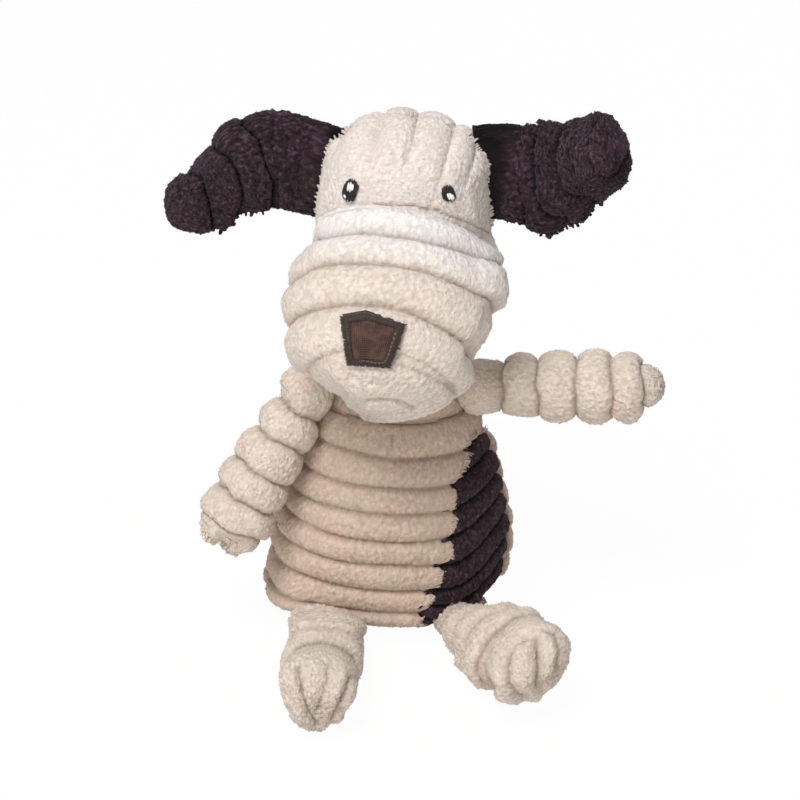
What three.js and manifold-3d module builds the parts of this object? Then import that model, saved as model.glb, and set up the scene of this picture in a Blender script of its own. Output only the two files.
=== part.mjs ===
// Squeaky plush dog in wide-wale corduroy fleece, sitting on a floor at z = 0 and facing -Y.
// Lengths are in millimetres and angles in degrees. The toy's own left is +X.
import * as THREE from "three";
import { mergeVertices } from "three/addons/utils/BufferGeometryUtils.js";
import Module from "manifold-3d";

// Cloth, seams and running clearances
const clearance = 0.3;
const fabric = 1.8;
const floorCut = 0.5;
const hullMargin = 2.1;
const sliver = 0.08;
const plainSidesShare = 0.65;
const overrun = 30;
const far = 400;

// Torso: a pear that leans a little to its own left
const torso = {
  height: 108.5,
  halfWidth: 51,
  halfDepth: 39,
  lean: 4.3,
  ribDepth: 2.2,
  bottomRound: 14,
  topRound: 11,
  rings: 8,
  sides: 20,
  grooveShares: [0.05, 0.14, 0.235, 0.34, 0.44, 0.545, 0.65, 0.765, 0.88],
  widthShares: [
    [0, 1], [0.14, 1], [0.22, 0.985], [0.39, 0.935], [0.52, 0.87],
    [0.62, 0.805], [0.73, 0.725], [0.82, 0.65], [0.92, 0.54], [1, 0.42],
  ],
  depthShares: [[0, 1], [0.15, 1], [0.39, 0.95], [0.52, 0.88], [0.73, 0.74], [0.92, 0.56], [1, 0.45]],
};
const sideSeam = { bottomY: -14, topY: 1 };
const patch = {
  top: [42, 84],
  upper: [31, 65],
  middle: [26.5, 46],
  lower: [22, 26],
  bottom: [13, 4],
};

// Head: a rounded skull on a ball neck, with a ribbed snout that hangs forward
const neck = { x: 5, z: 117, ballRadius: 18 };
const head = { turn: -6.8, roll: 2.7 };
const skull = {
  height: 113,
  halfWidth: 35,
  halfDepth: 30,
  forward: 3,
  ribDepth: 0.8,
  topRound: 16,
  rings: 7,
  sides: 20,
  grooveShares: [0.24, 0.46, 0.7, 0.87],
  bulgeShares: [
    [0, 0], [0.157, 0], [0.25, 0.38], [0.38, 0.75], [0.5, 0.93],
    [0.63, 1], [0.73, 0.98], [0.83, 0.87], [0.93, 0.68], [1, 0.45],
  ],
};
const snout = {
  length: 79,
  halfWidth: 43.3,
  halfThickness: 30,
  ribDepth: 2.4,
  rootRound: 8,
  tipRound: 18,
  rootForward: 12,
  rootUp: 55.5,
  aside: 3,
  droop: 49,
  turn: -9,
  rings: 6,
  sides: 20,
  grooveShares: [0.14, 0.31, 0.52, 0.82],
  widthShares: [[0, 0.75], [0.15, 0.84], [0.33, 1], [0.5, 0.965], [0.7, 0.87], [0.86, 0.76], [1, 0.6]],
  depthShares: [[0, 0.9], [0.2, 0.93], [0.45, 1], [0.7, 0.96], [0.86, 0.86], [1, 0.66]],
};
const nose = {
  width: 18.8,
  narrowWidth: 11.2,
  length: 12.7,
  alongShare: 0.715,
  aside: -2.4,
  tilt: 6,
  border: 2.4,
  thickness: 1.3,
  stitchRise: 0.6,
};
const eye = {
  spacing: 36.2,
  up: 72.5,
  width: 6.4,
  height: 8,
  lean: 12,
  thickness: 0.9,
  glintRadius: 1.3,
  glintAside: 1.4,
  glintRise: 0.5,
};

// Limbs: stuffed tubes with a round root that turns in a dimple of what carries it
const arm = {
  length: 71,
  rootRadius: 12,
  halfWidth: 14.8,
  ribDepth: 2.3,
  tipRound: 13,
  rings: 5,
  sides: 12,
  grooveShares: [0.2, 0.35, 0.51, 0.67, 0.84],
  widthShares: [[0, 0.8], [0.16, 0.8], [0.28, 0.87], [0.45, 0.94], [0.7, 1], [0.88, 0.98], [1, 0.86]],
};
const leg = {
  length: 78,
  rootRadius: 9.5,
  halfWidth: 16.8,
  ribDepth: 2.1,
  tipRound: 10,
  rings: 5,
  sides: 12,
  grooveShares: [0.2, 0.36, 0.52, 0.68, 0.85],
  widthShares: [[0, 0.566], [0.11, 0.566], [0.22, 0.72], [0.45, 0.88], [0.75, 1], [0.9, 1], [1, 0.84]],
};
const ear = {
  length: 62,
  halfWidth: 21.5,
  halfThickness: 10,
  ribDepth: 1.5,
  rootHalfThickness: 0.5,
  tipRound: 12,
  lean: 12,
  hollowFrom: 0.13,
  rings: 6,
  sides: 12,
  grooveShares: [0.24, 0.42, 0.58, 0.74, 0.9],
  thickShares: [[0, 0.05], [0.05, 0.15], [0.12, 0.42], [0.28, 0.8], [0.5, 0.98], [0.8, 0.9], [1, 0.75]],
};

// Where each limb leaves its carrier, and the way that it points
const armLeft = { hinge: [38, -5, 100], toward: [1, -0.09, 0.05] };
const armRight = { hinge: [-30, -11, 100], toward: [-0.53, -0.3, -0.83] };
const legLeft = { hinge: [27, -30, 10.5], toward: [0.42, -0.9, 0.15] };
const legRight = { hinge: [-24, -32, 10.2], toward: [-0.03, -1, 0.085] };
const earLeft = {
  side: 1,
  up: 73.5,
  bendShares: [
    [0, 0, 0], [0.06, 0, 0], [0.16, 0, -0.03], [0.32, 0.005, -0.055],
    [0.485, 0.065, -0.03], [0.64, 0.19, 0.02], [0.73, 0.34, 0.07], [0.77, 0.49, 0.115],
  ],
  widthShares: [[0, 0.8], [0.16, 0.85], [0.3, 1.06], [0.48, 1.06], [0.71, 0.9], [0.89, 0.8], [1, 0.7]],
};
const earRight = {
  side: -1,
  up: 70,
  bendShares: [
    [0, 0, 0], [0.06, 0, 0], [0.27, 0, -0.02], [0.47, 0, -0.08],
    [0.59, 0, -0.22], [0.69, 0, -0.38], [0.77, 0, -0.53], [0.83, 0, -0.65],
  ],
  widthShares: [[0, 0.76], [0.2, 0.86], [0.43, 0.95], [0.58, 0.78], [0.73, 0.68], [0.87, 0.55], [1, 0.45]],
};

// Squeaker: a blow-moulded disc with a reed plug in its rear face, and the pad that presses it
const bulb = { radius: 22, depth: 20, wall: 1.2, flange: 1.4, flangeHalf: 0.8, z: 50, y: 0, edgeRound: 8 };
const plug = { radius: 6, bore: 2.6, length: 11, flangeRadius: 8, flangeDepth: 1.5 };
const reed = { width: 4.2, length: 8, thickness: 0.3, clampDepth: 4 };
const pad = { radius: 22 };

// Thread of the neck seam
const thread = { radius: 0.8, drop: 11.5, steps: 28, sides: 5 };

const halfTurn = 180;
const inRadians = (degrees) => THREE.MathUtils.degToRad(degrees);

const wasm = await Module();
wasm.setup();

// Solids and meshes

// A closed geometry as a solid that can be joined and cut.
function solidOf(geometry) {
  const bare = geometry.index ? geometry.toNonIndexed() : geometry.clone();
  bare.deleteAttribute("normal");
  bare.deleteAttribute("uv");
  const merged = mergeVertices(bare, clearance / 1000);
  const mesh = new wasm.Mesh({
    numProp: 3,
    vertProperties: new Float32Array(merged.attributes.position.array),
    triVerts: new Uint32Array(merged.index.array),
  });
  return new wasm.Manifold(mesh);
}

function geometryOf(solid) {
  const mesh = solid.getMesh();
  const geometry = new THREE.BufferGeometry();
  geometry.setAttribute("position", new THREE.BufferAttribute(new Float32Array(mesh.vertProperties), 3));
  geometry.setIndex(new THREE.BufferAttribute(new Uint32Array(mesh.triVerts), 1));
  geometry.computeVertexNormals();
  return geometry;
}

// The largest of a solid's separate bodies, which drops crumbs that a cut leaves.
function mainBody(solid) {
  return solid.decompose().reduce((best, body) => (body.volume() > best.volume() ? body : best));
}

// The two largest bodies of a solid, the one further forward first.
function frontAndBack(solid) {
  const middle = (body) => {
    const box = body.boundingBox();
    return box.min[1] + box.max[1];
  };
  const bodies = solid.decompose().sort((a, b) => b.volume() - a.volume());
  return bodies.slice(0, 2).sort((a, b) => middle(a) - middle(b));
}

const transformed = (solid, matrix) => solid.transform(matrix.elements);

// A ball to cut with: its facets stay outside the radius.
function ball(centre, radius, steps = 18) {
  const facetShare = Math.cos(Math.PI / steps) ** 2;
  const geometry = new THREE.SphereGeometry(radius / facetShare, steps, steps / 2);
  geometry.translate(...centre);
  return solidOf(geometry);
}

// A flat outline, given in X and Z, carried along Y between two places.
function slab(outline, fromY, toY) {
  const shape = new THREE.Shape(outline.map(([x, z]) => new THREE.Vector2(x, z)));
  const geometry = new THREE.ExtrudeGeometry(shape, { depth: toY - fromY, bevelEnabled: false });
  geometry.rotateX(Math.PI / 2);
  geometry.translate(0, toY, 0);
  return solidOf(geometry);
}

// A profile of [radius, place] turned about Y.
function turned(profile, steps = 20) {
  const points = profile.map(([radius, place]) => new THREE.Vector2(radius, place));
  const inside = points.reduce((area, p, i) => area + p.cross(points[(i + 1) % points.length]), 0) < 0;
  return solidOf(new THREE.LatheGeometry(inside ? points.reverse() : points, steps));
}

// Soft forms

// The value of a table of [share, value] at a share, eased between its rows.
function tableAt(table, share) {
  const next = table.findIndex(([place]) => place >= share);
  if (next <= 0) return table[next < 0 ? table.length - 1 : 0][1];
  const [[a, low], [b, high]] = [table[next - 1], table[next]];
  return THREE.MathUtils.lerp(low, high, (share - a) / (b - a));
}

// How far a rounded end has opened, at a distance from it.
function opened(distance, round) {
  const left = Math.max(0, 1 - distance / round);
  return Math.sqrt(1 - left * left);
}

// Rib relief, from 0 in a groove to 1 along the crest.
function ribHeight(share, grooves) {
  const edges = [0, ...grooves, 1];
  const next = Math.max(1, edges.findIndex((edge) => edge > share));
  const across = (share - edges[next - 1]) / (edges[next] - edges[next - 1]);
  return share >= 1 ? 0 : Math.sqrt(Math.sin(Math.PI * across));
}

// Stations along a form: close together in its round ends, and three to each rib.
function ribStations(form) {
  const edges = [0, ...form.grooveShares, 1];
  const insideShares = [0.24, 0.76];
  const endShares = [0.09, 0.45];
  const last = edges.length - 2;
  const stations = edges.slice(0, -1).flatMap((edge, i) => {
    const width = edges[i + 1] - edge;
    if (i === 0) return endShares.map((share) => edge + width * share);
    if (i === last) return [edge, ...endShares.map((share) => edge + width * (1 - share)).reverse()];
    return [edge, ...insideShares.map((share) => edge + width * share)];
  });
  return stations;
}

// Stations of a smooth form, closer together towards its two ends.
function plainStations(count, start) {
  const eased = (i) => 0.5 - 0.5 * Math.cos((Math.PI * (i + 0.5)) / count);
  return Array.from({ length: count }, (_, i) => start + (1 - start) * eased(i));
}

// A closed skin over rings of points, with one point at each end.
function skin(rings, firstPoint, lastPoint) {
  const sides = rings[0].length;
  const points = [firstPoint, ...rings.flat(), lastPoint];
  const at = (ring, side) => 1 + ring * sides + (side % sides);
  const faces = [];
  for (let side = 0; side < sides; side++) {
    faces.push(0, at(0, side + 1), at(0, side));
    for (let ring = 0; ring < rings.length - 1; ring++) {
      const [a, b] = [at(ring, side), at(ring, side + 1)];
      const [c, d] = [at(ring + 1, side), at(ring + 1, side + 1)];
      faces.push(a, b, d, a, d, c);
    }
    faces.push(points.length - 1, at(rings.length - 1, side), at(rings.length - 1, side + 1));
  }
  const geometry = new THREE.BufferGeometry();
  geometry.setAttribute("position", new THREE.Float32BufferAttribute(points.flatMap((p) => p.toArray()), 3));
  geometry.setIndex(faces);
  return solidOf(geometry);
}

// The place, and the directions along, across and through a path, at a share of its length.
// Past its ends the path runs straight on.
function frameAt(path, acrossHint, share) {
  const inside = THREE.MathUtils.clamp(share, 0, 1);
  const along = path.getTangentAt(inside);
  const place = path.getPointAt(inside).addScaledVector(along, (share - inside) * path.getLength());
  const across = acrossHint.clone().addScaledVector(along, -acrossHint.dot(along)).normalize();
  return { place, across, through: along.clone().cross(across) };
}

// A form swept along its path. grow moves its whole surface out or in, and plain leaves off its ribs.
function softForm(form, path, acrossHint, sizes, { grow = 0, plain = false } = {}) {
  const length = path.getLength();
  const start = plain && form.hollowFrom ? form.hollowFrom : 0;
  const stations = plain ? plainStations(form.rings, start) : ribStations(form);
  const sides = plain ? Math.round(form.sides * plainSidesShare) : form.sides;
  const spread = 1 + (2 * grow) / length;
  const rings = stations.map((share) => {
    const { place, across, through } = frameAt(path, acrossHint, 0.5 + (share - 0.5) * spread);
    const relief = plain ? -form.ribDepth : form.ribDepth * (ribHeight(share, form.grooveShares) - 1);
    const [width, thickness, round] = sizes(share);
    const halfWidth = Math.max(clearance, (width + relief) * round + grow);
    const halfThickness = Math.max(clearance, (thickness + relief) * round + grow);
    return Array.from({ length: sides }, (_, i) => {
      const angle = (2 * Math.PI * i) / sides;
      return place
        .clone()
        .addScaledVector(across, halfWidth * Math.cos(angle))
        .addScaledVector(through, halfThickness * Math.sin(angle));
    });
  });
  const ends = [start, 1].map((share) => frameAt(path, acrossHint, 0.5 + (share - 0.5) * spread).place);
  return skin(rings, ...ends);
}

// A thin sheet over rows of places, thickened both ways along each row's own direction.
function sheet(rows, throughs, thickness) {
  const columns = rows[0].length;
  const under = rows.length * columns;
  const side = (sign) =>
    rows.flatMap((row, i) => row.map((place) => place.clone().addScaledVector(throughs[i], (sign * thickness) / 2)));
  const at = (row, column) => row * columns + column;
  const last = rows.length - 1;
  const faces = [];
  for (let row = 0; row < last; row++) {
    for (let column = 0; column < columns - 1; column++) {
      const [a, b] = [at(row, column), at(row, column + 1)];
      const [c, d] = [at(row + 1, column + 1), at(row + 1, column)];
      faces.push(a, b, c, a, c, d);
      faces.push(under + a, under + c, under + b, under + a, under + d, under + c);
    }
  }
  const rim = [
    ...rows[0].map((_, column) => at(0, column)),
    ...rows.slice(1).map((_, row) => at(row + 1, columns - 1)),
    ...rows[last].slice(1).map((_, column) => at(last, columns - 2 - column)),
    ...rows.slice(2).map((_, row) => at(last - 1 - row, 0)),
  ];
  rim.forEach((p, i) => {
    const q = rim[(i + 1) % rim.length];
    faces.push(q, p, under + p, q, under + p, under + q);
  });
  const points = [...side(1), ...side(-1)];
  const geometry = new THREE.BufferGeometry();
  geometry.setAttribute("position", new THREE.Float32BufferAttribute(points.flatMap((p) => p.toArray()), 3));
  geometry.setIndex(faces);
  return solidOf(geometry);
}

// A thin ribbon along a path, wider than the form, which cuts it at its two side seams.
function seamRibbon(path, acrossHint, halfWidth) {
  const past = overrun / path.getLength();
  const steps = path.isLineCurve3 ? 1 : 9;
  const columns = path.isLineCurve3 ? 1 : 2;
  const shares = [-past, ...Array.from({ length: steps + 1 }, (_, i) => i / steps), 1 + past];
  const frames = shares.map((share) => frameAt(path, acrossHint, share));
  const acrossShares = Array.from({ length: columns + 1 }, (_, i) => 1 - (2 * i) / columns);
  const rows = frames.map(({ place, across }) =>
    acrossShares.map((acrossShare) => place.clone().addScaledVector(across, acrossShare * halfWidth)),
  );
  return sheet(rows, frames.map(({ through }) => through), clearance);
}

const X = new THREE.Vector3(1, 0, 0);
const Z = new THREE.Vector3(0, 0, 1);
const line = (from, to) => new THREE.LineCurve3(new THREE.Vector3(...from), new THREE.Vector3(...to));

// Torso solids, in the toy's frame
const torsoPath = line([0, 0, -floorCut], [torso.lean, 0, torso.height - floorCut]);

function torsoSizes(share) {
  const up = share * torso.height;
  const round = opened(up, torso.bottomRound) * opened(torso.height - up, torso.topRound);
  return [
    torso.halfWidth * tableAt(torso.widthShares, share),
    torso.halfDepth * tableAt(torso.depthShares, share),
    round,
  ];
}

const torsoForm = (options) => softForm(torso, torsoPath, X, torsoSizes, options);

// Head solids, in the head's frame with its origin at the middle of the neck ball
const skullPath = line([0, 0, -neck.ballRadius], [0, 0, skull.height - neck.ballRadius]);

function skullSizes(share) {
  const up = share * skull.height;
  const round = opened(up, neck.ballRadius) * opened(skull.height - up, skull.topRound);
  const bulge = tableAt(skull.bulgeShares, share);
  const lerp = THREE.MathUtils.lerp;
  return [lerp(neck.ballRadius, skull.halfWidth, bulge), lerp(neck.ballRadius, skull.halfDepth, bulge), round];
}

const skullForm = (options) => softForm(skull, skullPath, X, skullSizes, options);

const snoutRoot = new THREE.Vector3(snout.aside, -snout.rootForward, snout.rootUp);
const snoutAlong = new THREE.Vector3(0, -Math.cos(inRadians(snout.droop)), -Math.sin(inRadians(snout.droop)));
snoutAlong.applyAxisAngle(Z, inRadians(snout.turn));
const snoutTip = snoutRoot.clone().addScaledVector(snoutAlong, snout.length);
const snoutPath = new THREE.LineCurve3(snoutRoot, snoutTip);

function snoutSizes(share) {
  const along = share * snout.length;
  const round = opened(along, snout.rootRound) * opened(snout.length - along, snout.tipRound);
  return [
    snout.halfWidth * tableAt(snout.widthShares, share),
    snout.halfThickness * tableAt(snout.depthShares, share),
    round,
  ];
}

const snoutForm = (options) => softForm(snout, snoutPath, X, snoutSizes, options);

// Limb solids, in their own frame: X runs out from the hinge
function limbSizes(limb) {
  return (share) => {
    const along = share * (limb.length + limb.rootRadius);
    const radius = limb.halfWidth * tableAt(limb.widthShares, share);
    const round = opened(along, limb.rootRadius) * opened(limb.length + limb.rootRadius - along, limb.tipRound);
    return [radius, radius, round];
  };
}

function limbForm(limb, options) {
  const path = line([-limb.rootRadius, 0, 0], [limb.length, 0, 0]);
  return softForm(limb, path, Z, limbSizes(limb), options);
}

function earPath(pose) {
  const points = pose.bendShares.map(
    ([out, forward, up]) => new THREE.Vector3(out, -pose.side * forward, up).multiplyScalar(ear.length),
  );
  return new THREE.CatmullRomCurve3(points);
}

function earSizes(pose) {
  return (share) => {
    const round = opened((1 - share) * ear.length, ear.tipRound);
    const halfWidth = ear.halfWidth * tableAt(pose.widthShares, share);
    return [halfWidth, ear.halfThickness * tableAt(ear.thickShares, share), round];
  };
}

// A frame at a place, with X along a direction. Its Y is near the fore-and-aft line, or points
// sideways where the direction itself runs fore and aft.
function frameToward(place, toward) {
  const along = new THREE.Vector3(...toward).normalize();
  const through = new THREE.Vector3(0, along.x < 0 ? -1 : 1, 0);
  if (Math.abs(along.y) > Math.abs(along.x)) through.set(1, 0, 0);
  through.addScaledVector(along, -through.dot(along)).normalize();
  const matrix = new THREE.Matrix4().makeBasis(along, through, along.clone().cross(through));
  return matrix.setPosition(...place);
}

// Materials
const plush = (colour) => new THREE.MeshStandardMaterial({ color: colour, roughness: 0.95, metalness: 0 });
const cream = plush("#e6dccd");
const white = plush("#f0e9e0");
const aubergine = plush("#3e2f35");
const noseCloth = plush("#5f4a44");
const thickThread = plush("#2c1c16");
const eyeThread = new THREE.MeshStandardMaterial({ color: "#120c08", roughness: 0.45, metalness: 0 });
const glintThread = new THREE.MeshStandardMaterial({ color: "#f7f4ee", roughness: 0.5, metalness: 0 });
const seamThread = plush("#d8cbb8");
const wadding = plush("#f4f2ee");
const softPlastic = new THREE.MeshStandardMaterial({ color: "#e9ecef", roughness: 0.35, metalness: 0 });
const reedPlastic = new THREE.MeshStandardMaterial({ color: "#c9d4dc", roughness: 0.25, metalness: 0 });

// A named piece of the toy, without the crumbs and slivers that its cuts leave
function addPiece(group, name, solid, material) {
  const mesh = new THREE.Mesh(geometryOf(mainBody(mainBody(solid).simplify(sliver))), material);
  mesh.name = name;
  group.add(mesh);
}

const toy = new THREE.Group();
const headGroup = new THREE.Group();
headGroup.position.set(neck.x, 0, neck.z);
headGroup.rotation.set(0, inRadians(head.roll), inRadians(head.turn), "ZYX");
headGroup.updateMatrix();
toy.add(headGroup);

// Everything that the torso makes room for: the neck ball, and the root of each limb
// Each root sits in its own dimple, so only the torso outside the dimples holds a limb off.
const neckBall = ball([neck.x, 0, neck.z], neck.ballRadius + clearance);
const limbRoots = (room) =>
  [[armLeft, arm], [armRight, arm], [legLeft, leg], [legRight, leg]]
    .map(([pose, limb]) => ball(pose.hinge, limb.rootRadius + room))
    .reduce((sum, root) => sum.add(root));
const torsoRoom = neckBall.add(limbRoots(clearance)).add(neckThread(clearance));
const torsoHull = torsoForm({ grow: torso.ribDepth + hullMargin, plain: true });
const floor = slab([[-far, -overrun], [far, -overrun], [far, 0], [-far, 0]], -far, far);

const torsoKeepOut = torsoHull.subtract(limbRoots(0)).add(floor);

// The slab of space between the front and back panels, along the side and bottom seams
function sideSeamCut() {
  const sheet = new THREE.BoxGeometry(far, clearance, far);
  const lean = Math.atan2(sideSeam.bottomY - sideSeam.topY, torso.height);
  sheet.rotateX(lean);
  sheet.translate(0, (sideSeam.bottomY + sideSeam.topY) / 2, torso.height / 2);
  return solidOf(sheet);
}

// The outline of the dark side patch, from its own seam round to far outside the toy
function patchOutline(aside) {
  const seam = [patch.top, patch.upper, patch.middle, patch.lower, patch.bottom].map(([x, z]) => [x + aside, z]);
  const outside = torso.halfWidth + overrun;
  return [...seam, [outside, patch.bottom[1]], [outside, patch.top[1]]];
}

const barSteps = 24;
const pocketFront = -bulb.depth / 2 + bulb.y;
const pocketBack = bulb.depth / 2 + bulb.y;

// A round bar along Y that holds the squeaker's place in the stuffing.
function pocketBar(radius, fromY, toY) {
  const bar = turned([[0, fromY], [radius, fromY], [radius, toY], [0, toY]], barSteps);
  return bar.translate([torso.lean * (bulb.z / torso.height), 0, bulb.z]);
}

function addTorso() {
  const inner = torsoForm({ grow: -fabric, plain: true });
  const shell = torsoForm().subtract(inner).subtract(torsoRoom).subtract(floor);
  const [front, back] = frontAndBack(shell.subtract(sideSeamCut()));
  const reach = -torso.halfDepth - overrun;
  const side = front.intersect(slab(patchOutline(0), reach, overrun));
  addPiece(toy, "body_front_panel", front.subtract(slab(patchOutline(-clearance), reach, overrun)), cream);
  addPiece(toy, "body_side_patch", side, aubergine);
  addPiece(toy, "body_back_panel", back, cream);

  const wad = torsoForm({ grow: -fabric - clearance, plain: true }).subtract(torsoRoom);
  const pocket = pocketBar(pad.radius + clearance, reach, pocketBack + clearance + plug.flangeDepth);
  addPiece(toy, "body_stuffing", wad.subtract(pocket), wadding);
  const padBar = pocketBar(pad.radius, reach, pocketFront - clearance);
  addPiece(toy, "belly_stuffing", wad.intersect(padBar), wadding);
}

function addSqueaker() {
  const squeaker = new THREE.Group();
  squeaker.position.set(torso.lean * (bulb.z / torso.height), bulb.y, bulb.z);
  toy.add(squeaker);
  const half = bulb.depth / 2;
  const neckHole = plug.radius + clearance;
  const flangeAngle = bulb.flangeHalf / bulb.edgeRound;
  const tiny = flangeAngle / 10;
  const arcSteps = 3;
  // Half of the bulb's section, rounded where its faces turn into its rim
  const arc = (radius, depth, round, steps, from, to) =>
    Array.from({ length: steps + 1 }, (_, i) => {
      const angle = THREE.MathUtils.lerp(from, to, i / steps);
      return [radius - round + round * Math.cos(angle), Math.sign(angle || 1) * (depth - round) + round * Math.sin(angle)];
    });
  const outside = [
    [0, -half],
    ...arc(bulb.radius - bulb.flange, half, bulb.edgeRound, arcSteps, -Math.PI / 2, -flangeAngle),
    [bulb.radius, -bulb.flangeHalf],
    [bulb.radius, bulb.flangeHalf],
    ...arc(bulb.radius - bulb.flange, half, bulb.edgeRound, arcSteps, flangeAngle, Math.PI / 2),
    [neckHole, half],
  ];
  const innerRound = bulb.edgeRound - bulb.wall;
  const inside = [
    [neckHole, half - bulb.wall],
    ...arc(bulb.radius - bulb.flange - bulb.wall, half - bulb.wall, innerRound, arcSteps, Math.PI / 2, tiny),
    ...arc(bulb.radius - bulb.flange - bulb.wall, half - bulb.wall, innerRound, arcSteps, -tiny, -Math.PI / 2),
    [0, -half + bulb.wall],
  ];
  addPiece(squeaker, "squeaker_bulb", turned([...outside, ...inside]), softPlastic);

  const seat = half + clearance;
  const end = seat + plug.flangeDepth;
  const plugBody = turned([
    [plug.bore, end],
    [plug.bore, end - plug.length],
    [plug.radius, end - plug.length],
    [plug.radius, seat],
    [plug.flangeRadius, seat],
    [plug.flangeRadius, end],
    [plug.bore, end],
  ]);
  addPiece(squeaker, "squeaker_plug", plugBody, softPlastic);

  // The tongue lies across the bore on a half-round clamp
  const clampRadius = plug.bore - clearance;
  const clamp = turned([[0, 0], [clampRadius, 0], [clampRadius, reed.clampDepth], [0, reed.clampDepth]], 16);
  const below = new THREE.BoxGeometry(plug.radius, plug.length, plug.radius);
  below.translate(0, 0, -plug.radius / 2 - clearance / 2 - reed.thickness / 2);
  const inPlug = [0, end - reed.clampDepth - plug.flangeDepth, 0];
  addPiece(squeaker, "squeaker_reed_clamp", clamp.intersect(solidOf(below)).translate(inPlug), softPlastic);
  const tongue = new THREE.BoxGeometry(reed.width, reed.length, reed.thickness);
  tongue.translate(0, end - plug.flangeDepth - reed.length / 2, clearance / 2);
  addPiece(squeaker, "squeaker_reed", solidOf(tongue), reedPlastic);
}

// The hand-sewn thread that closes the neck, lying in a crease where head and torso meet
function neckThread(grow = 0) {
  const reach = neck.ballRadius + clearance + thread.radius;
  const radius = Math.sqrt(reach * reach - thread.drop * thread.drop);
  const ring = new THREE.TorusGeometry(radius, thread.radius + grow, thread.sides, thread.steps);
  ring.translate(neck.x, 0, neck.z - thread.drop);
  return solidOf(ring);
}

// An outline that faces -Y, laid on a form: it follows the surface between two heights above it.
function laidOn(surface, outline, place, tilt, from, rise) {
  const prism = transformed(
    slab(outline, -overrun, overrun),
    new THREE.Matrix4().makeRotationFromEuler(new THREE.Euler(inRadians(tilt.x), inRadians(tilt.y), 0)).setPosition(...place),
  );
  return prism.intersect(surface({ grow: from + rise })).subtract(surface({ grow: from }));
}

function ovalOutline(halfWidth, halfHeight, steps) {
  return Array.from({ length: steps }, (_, i) => {
    const angle = (2 * Math.PI * i) / steps;
    return [halfWidth * Math.cos(angle), halfHeight * Math.sin(angle)];
  });
}

function addHead() {
  const skullInner = skullForm({ grow: -fabric, plain: true });
  const snoutInner = snoutForm({ grow: -fabric, plain: true });
  const skullShell = skullForm().subtract(skullInner).subtract(snoutForm({ grow: clearance }));
  const seam = new THREE.BoxGeometry(far, clearance, far);
  const [crown, back] = frontAndBack(skullShell.subtract(solidOf(seam)));
  addPiece(headGroup, "crown_panel", crown, white);
  addPiece(headGroup, "head_back_panel", back, white);

  const snoutShell = snoutForm().subtract(snoutInner).subtract(skullForm({ grow: clearance }));
  const under = new THREE.BoxGeometry(far, far, clearance);
  under.rotateX(inRadians(snout.droop));
  under.translate(...snoutRoot.clone().lerp(snoutTip, 0.5).toArray());
  const [top, chin] = frontAndBack(snoutShell.subtract(solidOf(under)));
  addPiece(headGroup, "muzzle_panel", top, white);
  addPiece(headGroup, "chin_panel", chin, white);
  const inset = { grow: -fabric - clearance, plain: true };
  addPiece(headGroup, "head_stuffing", skullForm(inset).add(snoutForm(inset)), wadding);
  addNose();
  addEyes();
}

function noseOutline(margin) {
  const [half, narrow, long] = [nose.width / 2 + margin, nose.narrowWidth / 2 + margin, nose.length / 2 + margin];
  return [[-half, long], [-narrow, -long], [narrow, -long], [half, long]];
}

function addNose() {
  const spot = snoutRoot.clone().lerp(snoutTip, nose.alongShare);
  const place = [spot.x + nose.aside, spot.y, spot.z];
  const tilt = { x: -(halfTurn / 2 - snout.droop), y: nose.tilt };
  const facing = (outline, from, rise) => {
    const laid = laidOn(snoutForm, outline, place, tilt, from, rise);
    return frontAndBack(laid)[0];
  };
  addPiece(headGroup, "nose_patch", facing(noseOutline(0), clearance, nose.thickness), noseCloth);
  const border = facing(noseOutline(nose.border), clearance, nose.thickness + nose.stitchRise);
  const opening = facing(noseOutline(clearance), 0, nose.thickness * 4);
  addPiece(headGroup, "nose_stitching", border.subtract(opening), thickThread);
}

function addEyes() {
  for (const [name, side, glintSide] of [["left", 1, 1], ["right", -1, -1]]) {
    const place = [(side * eye.spacing) / 2, 0, eye.up];
    const tilt = { x: 0, y: side * eye.lean };
    const oval = ovalOutline(eye.width / 2, eye.height / 2, 14);
    const front = (outline, at, from, rise) => frontAndBack(laidOn(skullForm, outline, at, tilt, from, rise))[0];
    addPiece(headGroup, `eye_${name}`, front(oval, place, clearance, eye.thickness), eyeThread);
    const glint = ovalOutline(eye.glintRadius, eye.glintRadius, 10);
    const glintPlace = [place[0] + glintSide * eye.glintAside, 0, eye.up];
    const above = clearance + eye.thickness + clearance;
    addPiece(headGroup, `eye_glint_${name}`, front(glint, glintPlace, above, eye.glintRise), glintThread);
  }
}

// A limb or ear of two panels over its own stuffing. form builds it at any offset.
function addStuffed(group, name, form, ribbon, trim, material) {
  const shell = trim(form()).subtract(form({ grow: -fabric, plain: true })).subtract(ribbon);
  const bodies = shell.decompose().sort((a, b) => b.volume() - a.volume()).slice(0, 2);
  group.updateMatrixWorld(true);
  const depth = (body) => {
    const box = body.boundingBox();
    const middle = new THREE.Vector3(...box.min).add(new THREE.Vector3(...box.max)).multiplyScalar(0.5);
    return middle.applyMatrix4(group.matrixWorld);
  };
  const key = name.startsWith("leg") ? (body) => Math.abs(depth(body).x) : (body) => depth(body).y;
  const [first, second] = bodies.sort((a, b) => key(a) - key(b));
  const sides = name.startsWith("leg") ? ["inner", "outer"] : ["front", "back"];
  addPiece(group, `${name}_${sides[0]}_panel`, first, material);
  addPiece(group, `${name}_${sides[1]}_panel`, second, material);
  addPiece(group, `${name}_stuffing`, trim(form({ grow: -fabric - clearance, plain: true })), wadding);
}

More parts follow.
